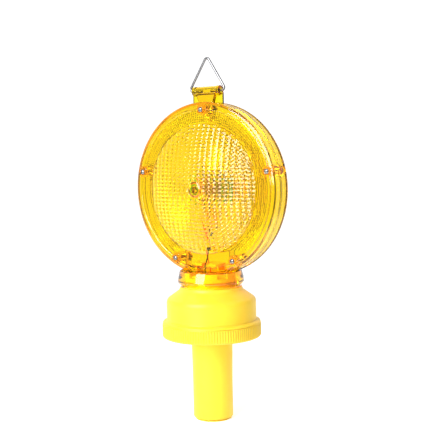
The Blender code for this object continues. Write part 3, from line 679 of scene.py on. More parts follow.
guide_plastic = plain("Orange Guide Plastic", (1.0, 0.42, 0.02), 0.3, grain=0.3)
zinc = plain("Zinc Plate", "zinc", 0.24, 1.0, grain=0.15, worn=(0.9, 0.9, 0.9))
bright_wire = plain("Drawn Steel Wire", (0.27, 0.27, 0.28), 0.34, 1.0, grain=0.1,
                    worn=(0.95, 0.95, 0.94))
spring_steel = plain("Spring Steel", (0.6, 0.6, 0.62), 0.22, 1.0, grain=0.1)
brass = plain("Contact Brass", "brass", 0.26, 1.0, grain=0.12, worn=(0.95, 0.8, 0.5))
tinned = plain("Tinned Steel", (0.66, 0.67, 0.69), 0.35, 1.0, grain=0.2)
solder = plain("Solder", (0.75, 0.75, 0.76), 0.2, 1.0, grain=0.3, spread=0.2)
black_plastic = plain("Black Plastic", (0.018, 0.018, 0.02), 0.42, grain=0.5)
nylon = plain("White Nylon", (0.82, 0.8, 0.73), 0.4, grain=0.3)
rubber = plain("Seal Rubber", (0.025, 0.024, 0.023), 0.75, grain=0.8, grain_scale=500.0)
red_cover = plain("Red Insulation", "red", 0.38, grain=0.3)
black_cover = plain("Black Insulation", (0.015, 0.015, 0.016), 0.36, grain=0.3)


@once
def board_lacquer():
    """Green lacquer over copper tracks, which show as slightly raised lighter lines."""
    made, tree, shader, vector = start_material("Board Lacquer")
    tracks = settle(tree, add_node(tree, "ShaderNodeTexBrick"), {
        "Vector": vector, "Scale": 190.0, "Mortar Size": 0.06, "Color1": (0.0, 0.0, 0.0, 1.0),
        "Color2": (0.12, 0.12, 0.12, 1.0), "Mortar": (1.0, 1.0, 1.0, 1.0)})
    moulded = use_group(tree, moulding_group, vector, gloss=0.25)
    edges = use_group(tree, wear_and_shade_group, vector, amount=0.5)
    green = colours().board
    copper = [c * 2.2 + 0.015 for c in green]
    base = layered(tree, rgba(green), (tracks.outputs["Color"], 1.0, copper),
                   (edges["Mask"], 1.0, (0.35, 0.33, 0.18)))
    height = calc(tree, "ADD", times(tree, tracks.outputs["Fac"], 0.6), moulded["Height"])
    settle(tree, shader, {"Base Color": base, "Roughness": moulded["Roughness"], "Coat Weight": 0.4,
                          "Normal": bump(tree, height, 0.05)})
    return made


@once
def resin():
    """Clear casting resin with a warm tint."""
    made, tree, shader, vector = start_material("Clear Resin")
    moulded = use_group(tree, moulding_group, vector, grain_depth=0.05, gloss=0.04,
                        gloss_spread=0.03)
    tint = layered(tree, (1.0, 0.86, 0.55, 1.0), (moulded["Mottle"], 0.3, (1.0, 0.8, 0.42)))
    settle(tree, shader, {
        "Base Color": tint, "Roughness": moulded["Roughness"], "Transmission Weight": 1.0,
        "IOR": 1.52, "Normal": bump(tree, moulded["Height"], 0.01)})
    return made


@once
def jacket():
    """Plain printed steel jacket: grey with a copper band at the top."""
    made, tree, shader, vector = start_material("Cell Jacket")
    place = add_node(tree, "ShaderNodeSeparateXYZ")
    feed(tree, place.inputs[0], vector)
    share = calc(tree, "FRACT", calc(tree, "DIVIDE", place.outputs["Z"], CELL_HEIGHT * MM))
    away = calc(tree, "ABSOLUTE", calc(tree, "SUBTRACT", share, 0.02))
    band = remap(tree, away, 0.1, 0.12, 1.0, 0.0)
    moulded = use_group(tree, moulding_group, vector, grain_scale=400.0, gloss=0.3)
    scuffs = use_group(tree, scuff_group, vector, amount=0.5)
    edges = use_group(tree, wear_and_shade_group, vector, amount=0.8)
    base = layered(tree, (0.05, 0.055, 0.065, 1.0), (band, 1.0, (0.62, 0.3, 0.12)),
                   (scuffs["Mask"], 0.5, (0.4, 0.4, 0.4)), (edges["Mask"], 1.0, (0.7, 0.7, 0.7)))
    settle(tree, shader, {"Base Color": base, "Roughness": moulded["Roughness"], "Metallic": 0.55,
                          "Coat Weight": 0.5, "Normal": bump(tree, moulded["Height"], 0.03)})
    return made


# Lens halves


def dome_depth(r):
    return DOME_DEPTH - DOME_SPHERE + math.sqrt(DOME_SPHERE**2 - r * r)


def inner_depth(r):
    sphere = DOME_SPHERE - WALL
    return DOME_DEPTH - WALL - sphere + math.sqrt(sphere**2 - r * r)


def facet_radii():
    """Radii of the rows of small pyramids inside the wall round the pattern."""
    s = sizes()
    outer, inner = CREST_R - 2.0, PATTERN_R + 1.2
    rows = round((outer - inner) * MM / s.facet_pitch)
    return [outer + (inner - outer) * row / rows for row in range(rows + 1)]


def raise_facets(shape):
    """Turns the whole squares of the wall's inner side into pyramids."""
    s = sizes()
    radii = facet_radii()
    squares = []
    for face in shape.faces:
        r = [v.co.xy.length / MM for v in face.verts]
        level = all(abs(v.co.z / MM - (FACE_DEPTH - WALL)) < 0.01 for v in face.verts)
        tall = max(r) - min(r) > 0.6 * s.facet_pitch / MM
        whole = tall and len(r) == 4 and face.calc_area() > 0.5 * s.facet_pitch**2
        if (level and whole and max(r) < radii[0] + 0.1 and min(r) > radii[-1] - 0.1
                and min(v.co.y for v in face.verts) > WINDOW_TOP * MM):
            squares.append(face)
    bmesh.ops.poke(shape, faces=squares, offset=s.facet_depth)
    return len(squares)


def half_outline():
    """The rim's section in (radius, depth), from the pattern's edge out, round the seam
    and back to the pattern's edge inside."""
    inside = FACE_DEPTH - WALL
    facets = [(r, inside) for r in facet_radii()]
    return rounded([
        (PATTERN_R, FACE_DEPTH), (CREST_R - 2.4, FACE_DEPTH),
        (CREST_R - 1.6, FACE_DEPTH + 0.5, 0.4), (CREST_R, FACE_DEPTH + 0.65, 0.9),
        (CREST_R + 0.8, FACE_DEPTH + 0.1, 0.5), (CREST_R + 2.6, FACE_DEPTH + 0.1, 0.8),
        (HEAD_R, 11.6, 1.6), (HEAD_R, 8.9, 0.3), (HEAD_R - 0.7, 8.2, 0.3),
        (HEAD_R - 0.7, 3.3, 0.2), (HEAD_R - 0.2, 2.7, 0.3), (HEAD_R - 0.2, SEAM, 0.2),
        (CAVITY_R, SEAM), (CAVITY_R, inside, 1.2), *facets, (PATTERN_R, inside),
        (INNER_R, inner_depth(INNER_R)),
    ])


def neck_solid():
    outline = rounded([
        (0.0, -NECK_TOP), (33.6, -NECK_TOP, 1.2), (34.4, -NECK_TOP - 3.5, 0.6),
        (35.3, -NECK_WIDE + 4.8, 0.6), (36.0, -NECK_WIDE, 0.9), (35.4, -NECK_WIDE - 1.4, 0.5),
        (33.1, -NECK_BOTTOM + 1.0, 0.6), (32.9, -NECK_BOTTOM, 0.4), (0.0, -NECK_BOTTOM),
    ])
    return placed(lathe(outline, 128), turn=(-90, 0, 0))


def neck_bore():
    bore_r, rib_r = TOWER_R + 0.5, TOWER_R - 1.0
    low, high = GROOVE_Z + 0.3 - HEAD_Z, GROOVE_Z + 2.7 - HEAD_Z
    outline = [
        (0.0, -NECK_TOP - 2.0), (bore_r, -NECK_TOP - 2.0), (bore_r, high), (rib_r, high),
        (rib_r, low), (bore_r, low), (bore_r, -NECK_BOTTOM - 5.0), (0.0, -NECK_BOTTOM - 5.0),
    ]
    return placed(lathe(outline, 120), turn=(-90, 0, 0))


def barrel_solid():
    half, waist = BARREL_LENGTH / 2, BARREL_R - 0.35
    outline = rounded([
        (0.0, half), (BARREL_R, half, 0.5), (BARREL_R, half - 4.0, 0.1),
        (waist, half - 4.6, 0.2), (waist, 4.6 - half, 0.2), (BARREL_R, 4.0 - half, 0.1),
        (BARREL_R, -half, 0.5), (0.0, -half),
    ])
    return placed(lathe(outline, 48), y=BARREL_Z, turn=(0, 90, 0))


def web_solid(rear):
    """The tab between rim and barrel: wide and thin behind, tapered in front."""
    low, high = CAVITY_R - 1.0, BARREL_Z - 2.0
    width, deep, taper = (39.0, 3.0, 1.0) if rear else (17.0, 4.6, 1.53)
    shape = block((width, 2 * deep, high - low), (0, 0, 0), bevel=0.5, taper=taper)
    return placed(shape, y=(low + high) / 2, turn=(-90, 0, 0))


def screw_places():
    for label, angle in SCREWS.items():
        turn = math.radians(angle)
        yield label, angle, SCREW_RING_R * math.cos(turn), SCREW_RING_R * math.sin(turn)


def at_screws(make):
    """One of make() at each screw, turned a little so that no corners meet the wall's."""
    return merged(*(placed(make(), x, y, turn=(0, 0, 4)) for _, _, x, y in screw_places()))


def bosses(rear):
    """Posts for the screws, with a raised pad under each head on the front half."""
    root = FACE_DEPTH - 1.0
    outline = [(0.0, root), (6.2, root), (6.2, 9.0), (6.0, SEAM + 0.15), (0.0, SEAM + 0.15)]
    if not rear:
        outline = rounded([(0.0, SEAT), (5.2, SEAT, 0.4), (5.2, root)]) + outline[1:]
    return at_screws(lambda: lathe(outline, 40))


def window_rib():
    """An upright rib inside the wall beside the clear window."""
    low, high = -86.5, WINDOW_TOP - 1.0
    deep = FACE_DEPTH - 2.0
    rib = block((1.3, high - low, deep), bevel=0.25)
    return placed(rib, -25.0, (low + high) / 2, SEAM + 1.0 + deep / 2)


def holes(rear):
    end = 4.9 if rear else 30.0
    across = placed(rod(1.85, 30.0, -30.0, 28), y=BARREL_Z, turn=(0, 90, 0))
    return merged(at_screws(lambda: rod(1.8, end, -5.0, 24)), across)


def rim_notches():
    """Small slots across the rim beside the two middle screws."""
    angle = SCREWS["right"] + 1.6
    x, y, _ = polar(HEAD_R, math.radians(angle), 0.0)
    return merged(*(
        placed(block((2.4, 3.4, 7.4), turn=angle * side, bevel=0.3), x * side, y)
        for side in (-1, 1)
    ))


def pattern_height(x, y):
    """Depth of the outer face at (x, y): the dome with its pillows."""
    s = sizes()
    wide, tall, rise = s.pillow_width / MM, s.pillow_height / MM, s.pillow_rise / MM
    r = math.hypot(x, y)
    base = dome_depth(r)
    if y < WINDOW_TOP or r < BEAD_R + 0.4 or r > PATTERN_R - 0.5:
        return base
    u = 2 * (x / wide - math.floor(x / wide)) - 1
    v = 2 * (y / tall - math.floor(y / tall)) - 1
    return base + rise * (1 - u * u) * (1 - v * v)


def outer_pattern():
    """The outer face inside the pattern's edge: pillows round a plain bead."""
    s = sizes()
    wide, tall = s.pillow_width / MM / PILLOW_COLUMNS, s.pillow_height / MM / PILLOW_ROWS
    shape = bmesh.new()
    verts = {}

    def corner(i, j):
        if (i, j) not in verts:
            x, y = i * wide, j * tall
            verts[i, j] = shape.verts.new((x * MM, y * MM, pattern_height(x, y) * MM))
        return verts[i, j]

    def circle(r, depth, steps):
        return loop_of(shape, steps, lambda turn: polar(r, turn, depth))

    def fill(rim, loop):
        rim = rim + [shape.edges.get(pair) or shape.edges.new(pair)
                     for pair in zip(loop, loop[1:] + loop[:1])]
        bmesh.ops.triangle_fill(
            shape, use_beauty=True, use_dissolve=False, edges=rim, normal=(0.0, 0.0, 1.0)
        )

    columns, rows = int(PATTERN_R / wide) + 1, int(PATTERN_R / tall) + 1
    diagonal = math.hypot(wide, tall) / 2
    for i in range(-columns, columns):
        for j in range(-rows, rows):
            r = math.hypot((i + 0.5) * wide, (j + 0.5) * tall)
            if BEAD_R + diagonal + 0.1 < r < PATTERN_R - diagonal - 0.4:
                square = ((i, j), (i + 1, j), (i + 1, j + 1), (i, j + 1))
                shape.faces.new([corner(*at) for at in square])
    rim = [e for e in shape.edges if e.is_boundary]
    middle = (PATTERN_R + BEAD_R) / 2 * MM
    far = [e for e in rim if e.verts[0].co.xy.length > middle]
    near = [e for e in rim if e.verts[0].co.xy.length < middle]

    edge = circle(PATTERN_R, FACE_DEPTH, LENS_STEPS)
    step = circle(PATTERN_R - 0.3, dome_depth(PATTERN_R - 0.3), LENS_STEPS)
    skin(shape, [edge, step])
    fill(far, step)
    levels = 7
    bead = []
    for level in range(levels):
        rise = math.pi / 2 * level / levels
        depth = dome_depth(BEAD_R) + BEAD_RISE * math.sin(rise)
        bead.append(circle(BEAD_R * math.cos(rise), depth, BEAD_STEPS))
    fill(near, bead[0])
    skin(shape, bead)
    shape.faces.new(bead[-1])
    return shape


def inner_pattern():
    """The inner face inside the pattern's edge: stepped rings round a plain middle."""
    s = sizes()
    pitch, deep = s.ring_pitch / MM, s.ring_depth / MM
    shape = bmesh.new()
    radii = [(INNER_R, 0.0)]
    r = INNER_R - 0.6
    while r - pitch > BEAD_R:
        fade = 1.0 - 0.45 * r / PATTERN_R
        radii += [(r, 0.0), (r - pitch * 0.5, -deep * fade / 2), (r - pitch + 0.3, -deep * fade)]
        r -= pitch
    radii.append((r, 0.0))
    levels = 11
    for level in range(levels):
        turn = math.pi / 2 * level / levels
        radii.append((BEAD_R * math.cos(turn), -CONDENSER_DEPTH * math.sin(turn)))

    def circle(r, step):
        def point(turn):
            x, y = r * math.cos(turn), r * math.sin(turn)
            return x, y, inner_depth(r) + (step if y > WINDOW_TOP + 1.0 else 0.0)

        return loop_of(shape, LENS_STEPS, point)

    loops = [circle(*at) for at in radii]
    skin(shape, loops)
    shape.faces.new(loops[-1])
    return shape


def close_hairlines(shape):
    """Splits each open edge where another open corner lies on it, and joins the two sides."""
    loose = [e for e in shape.edges if e.is_boundary]
    corners = {v for e in loose for v in e.verts}
    for edge in loose:
        a, b = edge.verts
        for corner in corners - {a, b}:
            point, share = intersect_point_line(corner.co, a.co, b.co)
            if 0.0 < share < 1.0 and (point - corner.co).length < WELD:
                bmesh.utils.edge_split(edge, a, share)
                break
    bmesh.ops.remove_doubles(shape, verts=shape.verts, dist=WELD)
    if any(e.is_boundary for e in shape.edges):
        raise RuntimeError("The lens half is open somewhere")


def lens_half(rear):
    """One clear half: its section turned, joined to neck and barrel, with the pattern set in."""
    rim = lathe(half_outline(), LENS_STEPS, cap=True)
    cavity = lathe([(0.0, inner_depth(0.0)), (INNER_R, inner_depth(INNER_R)),
                    (CAVITY_R - 1.2, FACE_DEPTH - WALL), (CAVITY_R, FACE_DEPTH - WALL - 1.2),
                    (CAVITY_R, -40.0), (0.0, -40.0)], LENS_STEPS)
    tab = cut(barrel_solid(), ("UNION", web_solid(rear)))
    seam = block((400.0, 400.0, 80.0), (0.0, 0.0, SEAM - 40.0))
    outer = cut(neck_solid(), ("UNION", tab), ("DIFFERENCE", seam), ("DIFFERENCE", cavity))
    mouth = block((27.0, 14.0, 2 * (FACE_DEPTH - WALL) - 0.6), (0.0, -NECK_TOP, 0.0), bevel=0.6)
    shape = cut(
        rim,
        ("UNION", outer), ("DIFFERENCE", neck_bore()), ("DIFFERENCE", mouth),
        ("UNION", bosses(rear)), ("UNION", window_rib()),
        ("DIFFERENCE", merged(holes(rear), rim_notches())),
    )
    if raise_facets(shape) < LENS_STEPS:
        raise RuntimeError("The lens wall lost its pyramids")
    flat = [f for f in shape.faces
            if len(f.verts) > 100 and max(v.co.xy.length for v in f.verts) < (PATTERN_R + 0.2) * MM]
    bmesh.ops.delete(shape, geom=flat, context="FACES_ONLY")
    shape = merged(shape, outer_pattern(), inner_pattern())
    bmesh.ops.remove_doubles(shape, verts=shape.verts, dist=WELD)
    close_hairlines(shape)
    bmesh.ops.recalc_face_normals(shape, faces=shape.faces)
    if rear:
        root = inner_depth(LIGHT_SCREW_X) + 0.6
        outline = rounded([(0.0, root), (3.4, root), (2.8, 20.0, 0.6), (2.8, 1.1, 0.3), (1.3, 1.1),
                           (1.3, 11.0), (0.0, 11.0)])
        posts = [placed(lathe(outline, 32), side * LIGHT_SCREW_X) for side in (-1, 1)]
        shape = merged(shape, *posts)
    return placed(shape, z=HEAD_Z, turn=(90, 0, 180 if rear else 0))


class LAMP_OT_lens_halves(bpy.types.Operator):
    """Build the two clear lens halves"""

    bl_idname = "lamp.lens_halves"
    bl_label = "Lens Halves"

    def execute(self, context):
        for name, rear in (("front_shell", False), ("rear_shell", True)):
            node = "rear_lens" if rear else "front_lens"
            piece(name, lens_half(rear), amber(), "head", node, sharp=18.0)
        return {"FINISHED"}


# Screws, bail and light board


def thread_shape(core, crest, low, high, pitch):
    """A screw shank from high down to low, with a helical thread and a short point."""
    point = 0.8
    shape = bmesh.new()

    def circle(z):
        def place(turn):
            wave = (z / pitch - turn / (2 * math.pi)) % 1.0
            fade = min(1.0, (high - z) / pitch, (z - low) / point + 0.15)
            r = core + (crest - core) * (1 - abs(2 * wave - 1)) * fade
            if z - low < point:
                r *= 0.35 + 0.65 * (z - low) / point
            return polar(r, turn, z)

        return loop_of(shape, 24, place)

    rows = int((high - low) / (pitch / 4))
    loops = [circle(high - (high - low) * row / rows) for row in range(rows + 1)]
    return outward(skin(shape, loops, cap=True))


def cross_screw(head_r, head, core, crest, reach_down, pitch, turn=30.0):
    """A pan head screw with a cross recess. Its seat is at height 0 and its head above."""
    outline = [(0.0, head)] + arc((0.0, head - head_r * 1.25), head_r * 1.25, 78, 52, 5)
    outline += rounded([(head_r, head * 0.42, 0.35), (head_r, 0.0, 0.12), (core, 0.0)])
    outline += [(core, -0.6), (0.0, -0.6)]
    arms = [
        placed(block((head_r * 1.15, 0.62, 1.3), bevel=0.12, taper=1.35), z=head - 0.25,
               turn=(0, 0, angle + turn))
        for angle in (0, 90)
    ]
    cross = cut(arms[0], ("UNION", arms[1]))
    return merged(cut(lathe(outline, 40), ("DIFFERENCE", cross)),
                  thread_shape(core, crest, -reach_down, -0.4, pitch))


class LAMP_OT_lens_screws(bpy.types.Operator):
    """Build the five screws that close the head"""

    bl_idname = "lamp.lens_screws"
    bl_label = "Lens Screws"

    def execute(self, context):
        for label, angle, x, y in screw_places():
            shape = cross_screw(2.8, 1.7, 1.15, 1.5, 17.0, 1.1, turn=angle)
            shape = placed(shape, x, -SEAT - 0.05, HEAD_Z + y, turn=(90, 0, 0))
            piece("screw_" + label, shape, zinc(), "head", "lens_screw_" + label)
        return {"FINISHED"}


def bail_path():
    """The wire's centre line in (x, height), from one end in the barrel round to the other."""
    half = BARREL_LENGTH / 2 + 7.0
    inner = BARREL_LENGTH / 2 - 12.0
    corners = [(inner, 0.0), (half, 0.0, 5.2), (0.0, 37.5, 4.4), (-half, 0.0, 5.2), (-inner, 0.0)]
    path = [corners[0]]
    for i, corner in enumerate(corners[1:-1], 1):
        at = Vector(corner[:2])
        back = (Vector(corners[i - 1][:2]) - at).normalized()
        on = (Vector(corners[i + 1][:2]) - at).normalized()
        bend = 3.2 if i == 2 else 3.0
        half_angle = back.angle(on) / 2
        centre = at + (back + on).normalized() * (bend / math.sin(half_angle))
        first = at + back * (bend / math.tan(half_angle)) - centre
        last = at + on * (bend / math.tan(half_angle)) - centre
        whole = first.angle_signed(last)
        for k in range(13):
            turned = -whole * k / 12
            path.append((
                centre.x + first.x * math.cos(turned) - first.y * math.sin(turned),
                centre.y + first.x * math.sin(turned) + first.y * math.cos(turned),
            ))
    path.append(corners[-1])
    return path


class LAMP_OT_bail(bpy.types.Operator):
    """Build the wire bail"""

    bl_idname = "lamp.bail"
    bl_label = "Wire Bail"

    def execute(self, context):
        path = [(x, 0.0, HEAD_Z + BARREL_Z + z) for x, z in bail_path()]
        wire = sweep(path, sizes().bail_wire / MM, 20)
        piece("bail", wire, bright_wire(), "bail", "bail_wire")
        return {"FINISHED"}


def light_lamp():
    """A domed lamp: its foot is at height 0 and it points up."""
    outline = [(0.0, 8.0)] + arc((0.0, 5.5), 2.5, 80, 0, 8) + rounded([
        (2.5, 1.0, 0.1), (2.9, 1.0, 0.1), (2.9, 0.0, 0.1), (0.0, 0.0)])
    return lathe(outline, 40)


def light_core():
    """Lead frame inside a lamp: a cup on an anvil and a thinner post."""
    cup = lathe(rounded([(0.0, 5.2), (0.5, 5.3), (0.95, 5.7, 0.05), (0.95, 4.4, 0.1), (0.5, 3.9),
                         (0.5, -0.3), (0.0, -0.3)]), 20)
    post = block((0.6, 0.5, 5.0), (-1.3, 0.0, 2.3), bevel=0.1)
    return merged(placed(cup, 0.35), post)


class LAMP_OT_light_board(bpy.types.Operator):
    """Build the light board with its lamps, joints and small parts"""

    bl_idname = "lamp.light_board"
    bl_label = "Light Board"

    def execute(self, context):
        wide, thick, tall = 34.0, 1.6, 17.0
        board = block((wide, thick, tall), bevel=0.25)
        corner_holes = [placed(rod(1.3, 5.0, -5.0, 24), x, turn=(90, 0, 0))
                        for x in (-LIGHT_SCREW_X, LIGHT_SCREW_X)]
        board = cut(board, ("DIFFERENCE", merged(*corner_holes)))
        piece("light_board", placed(board, z=HEAD_Z), board_lacquer(), "head", "led_board")
        face = thick / 2
        for name, turn, front in (("front", 90, -1), ("rear", -90, 1)):
            lamp = placed(light_lamp(), 0.0, front * (face + 0.3), HEAD_Z, (turn, 0, 0))
            piece("light_" + name, lamp, resin(), "head", "led_" + name)
            core = placed(light_core(), 0.0, front * (face + 0.6), HEAD_Z, (turn, 0, 0))
            piece("light_core_" + name, core, tinned(), "head")
            rings = []
            for x, z, r in ((-1.3, 5.6, 1.3), (1.3, 5.6, 1.3), (-4.2, -5.6, 1.5), (4.2, -5.6, 1.5),
                            (-7.6, 4.6, 1.2), (7.4, -2.4, 1.2), (-7.4, -3.0, 1.2), (7.8, 3.6, 1.2)):
                joint = lathe([(0.0, 0.7), (0.3, 0.68), (0.5, 0.35), (r * 0.8, 0.12), (r, 0.0),
                               (0.0, 0.0)], 20)
                rings.append(placed(joint, x, front * face, HEAD_Z + z, (turn, 0, 0)))
            piece("joints_" + name, merged(*rings), brass(), "head")
            small = []
            for x, z, size in ((-5.2, 1.2, (3.2, 1.1, 1.7)), (5.4, 1.4, (1.7, 1.0, 3.2)),
                               (5.8, -5.6, (2.2, 0.9, 1.4)), (-5.0, -2.2, (1.4, 0.9, 2.2))):
                small.append(block(size, (x, front * (face + size[1] / 2), HEAD_Z + z), bevel=0.15))
            piece("small_parts_" + name, merged(*small), black_plastic(), "head")
        for side, name in ((-1, "left"), (1, "right")):
            shape = cross_screw(2.0, 1.4, 0.8, 1.0, 9.4, 0.8)
            shape = placed(shape, LIGHT_SCREW_X * side, -face - 0.3, HEAD_Z, (90, 0, 0))
            piece("board_pin_" + name, shape, zinc(), "head", "led_screw_" + name)
        return {"FINISHED"}


class LAMP_OT_wiring(bpy.types.Operator):
    """Build the two leads and the bridge that they run past"""

    bl_idname = "lamp.wiring"
    bl_label = "Leads and Guide"

    def execute(self, context):
        start = HEAD_Z - 8.5 - 0.95
        end = top("wire_plug") + 0.4
        window = HEAD_Z - NECK_TOP
        for name, material, side in (("red", red_cover(), 1), ("black", black_cover(), -1)):
            depth = -3.6 if side > 0 else -5.6
            route = [
                (-3.0 * side, -0.6 * side, start), (-3.6 * side, -2.0, start - 14.0),
                (-4.2 * side, depth, start - 36.0), (-1.6 * side, depth, window + 18.6),
                (0.0, depth, window + 11.6), (3.2 * side, -5.0, window + 3.6),
                (3.4 * side, -3.4, window - 1.9), (1.6 * side, -0.5, window - 7.4),
                (1.5 * side, 0.0, end),
            ]
            lead = sweep(smooth_path(route), sizes().lead_wire / MM, 12)
            x, y = route[0][:2]
            core = sweep([(x, y, start + 1.6), (x, y, start - 0.5)], 0.35, 10)
            piece(name + "_lead", lead, material, "head", name + "_wire")
            piece(name + "_core", core, solder(), "head")
        guide_top = top("wire_guide")
        outline = rounded([(0.0, guide_top), (16.7, guide_top, 0.5), (16.7, guide_top - 3.0, 0.5),
                           (0.0, guide_top - 3.0)])
        plate = lathe(outline, 96)
        low = foot("wire_guide")
        high = guide_top - 1.0
        legs = [block((1.8, 12.0, high - low), (x, 0.0, (high + low) / 2), bevel=0.3)
                for x in (-14.5, 14.5)]
        slot = block((9.0, 9.0, 20.0), (0.0, -7.0, guide_top), bevel=0.8)
        trim = block((60.0, 18.0, 20.0), (0.0, 0.0, guide_top), bevel=0.6)
        shape = cut(plate, ("INTERSECT", trim), ("UNION", merged(*legs)), ("DIFFERENCE", slot))
        piece("lead_guide", shape, guide_plastic(), "head", "wire_guide")
        return {"FINISHED"}


# Base


class LAMP_OT_base_housing(bpy.types.Operator):
    """Build the yellow bowl with its tower, deck and light sensor"""

    bl_idname = "lamp.base_housing"
    bl_label = "Base Housing"

    def execute(self, context):
        inner_r = BOWL_R - BASE_WALL
        cone = WAIST_Z - 7.7
        outline = rounded([
            (TOWER_R, TOWER_TOP_Z, 0.4), (TOWER_R, GROOVE_Z + 3.0),
            (TOWER_R - 1.5, GROOVE_Z + 3.0, 0.2), (TOWER_R - 1.5, GROOVE_Z, 0.2),
            (TOWER_R, GROOVE_Z), (TOWER_R, WAIST_Z, 0.3), (WAIST_R, WAIST_Z, 0.5),
            (WAIST_R + 1.2, WAIST_Z - 3.4, 2.0), (WAIST_R + 7.6, WAIST_Z - 8.0, 4.0),
            (BOWL_R - 1.0, SHOULDER_Z + 6.0, 1.8), (BOWL_R, SHOULDER_Z + 2.8, 1.6),
            (BOWL_R, LEDGE_Z - 1.3, 1.2), (FLANGE_R - 0.8, LEDGE_Z - 2.2, 1.6),
            (FLANGE_R, FLANGE_Z, 0.5), (SKIRT_R, FLANGE_Z), (SKIRT_R, SKIRT_FOOT_Z, 0.5),
            (SKIRT_R - BASE_WALL, SKIRT_FOOT_Z, 0.5), (SKIRT_R - BASE_WALL, FLANGE_Z - 1.0),
            (inner_r, LEDGE_Z), (inner_r, SHOULDER_Z, 1.5),
            (WAIST_R + 5.0 - BASE_WALL, cone, 1.5), (TOWER_BORE_R - 1.5, cone + 4.6, 1.0),
            (TOWER_BORE_R - 1.5, DECK_Z - 0.3), (TOWER_BORE_R, DECK_Z - 0.3),
            (TOWER_BORE_R, TOWER_TOP_Z, 0.4),
        ])
        body = lathe(outline, 160, ring=True)
        notches = [
            placed(block((8.0, 11.0, 10.0), bevel=0.6),
                   *polar(TOWER_R, math.radians(turn), TOWER_TOP_Z), (0, 0, turn))
            for turn in (30.0, 90.0, 150.0, 210.0, 270.0, 330.0)
        ]
        body = cut(body, ("DIFFERENCE", merged(*notches)))
        low, high = BOARD_Z + 1.9, WAIST_Z - 1.5
        outline = rounded([(0.0, high), (3.2, high), (3.2, low, 0.3), (1.4, low), (1.4, low + 3.7),
                           (0.0, low + 3.7)])
        posts = [placed(lathe(outline, 32), x) for x in (-BOARD_SCREW_X, BOARD_SCREW_X)]
        thread = screw_ridge(SKIRT_R - 0.3, COLLAR_FLOOR_Z + 5.0)
        piece("bowl", merged(body, thread, *posts), housing(), "base", "base_housing")

        high = top("neck_deck")
        disc = lathe(rounded([
            (TOWER_BORE_R - 0.3, high, 0.3), (TOWER_BORE_R - 0.3, DECK_Z, 0.2), (6.0, DECK_Z),
            (6.0, high, 0.3), (7.6, high), (7.6, high + 0.5, 0.2), (8.6, high + 0.5, 0.2),
            (8.6, high),
        ]), 96, ring=True)
        seat = placed(rod(2.9, high + 5.0, DECK_Z - 5.0, 32), y=SENSOR_Y)
        bumps = [placed(lathe([(0.0, high + 1.6), (1.3, high + 1.4), (1.9, high + 0.6),
                               (1.9, high - 0.2), (0.0, high - 0.2)], 20), x, y)
                 for x, y in ((-12.0, -16.5), (12.0, -16.5), (-19.5, 4.0), (19.5, 4.0))]
        disc = merged(cut(disc, ("DIFFERENCE", seat)), *bumps)
        piece("deck", disc, housing(), "base", "neck_deck")
        eye_top = top("photocell")
        eye = lathe([(0.0, eye_top), (0.9, eye_top - 0.04), (1.9, eye_top - 0.4),
                     (2.5, eye_top - 1.0), (2.6, eye_top - 1.6), (2.6, DECK_Z), (0.0, DECK_Z)], 32)
        piece("sensor_eye", placed(eye, y=SENSOR_Y), resin(), "base", "photocell")
        return {"FINISHED"}


def knurl(r, z, turn):
    """How far the collar's ribs stand out at a point of its side."""
    s = sizes()
    if r < COLLAR_R - 0.02 or z > COLLAR_TOP_Z - 0.6 or z < COLLAR_Z + 2.0:
        return 0.0
    phase = turn * s.knurl_ribs / (2 * math.pi) % 1.0
    rise = s.knurl_rise / MM
    return rise * min(1.0, max(0.0, 2.2 * (0.5 - abs(phase - 0.5)) * 2 - 0.45))


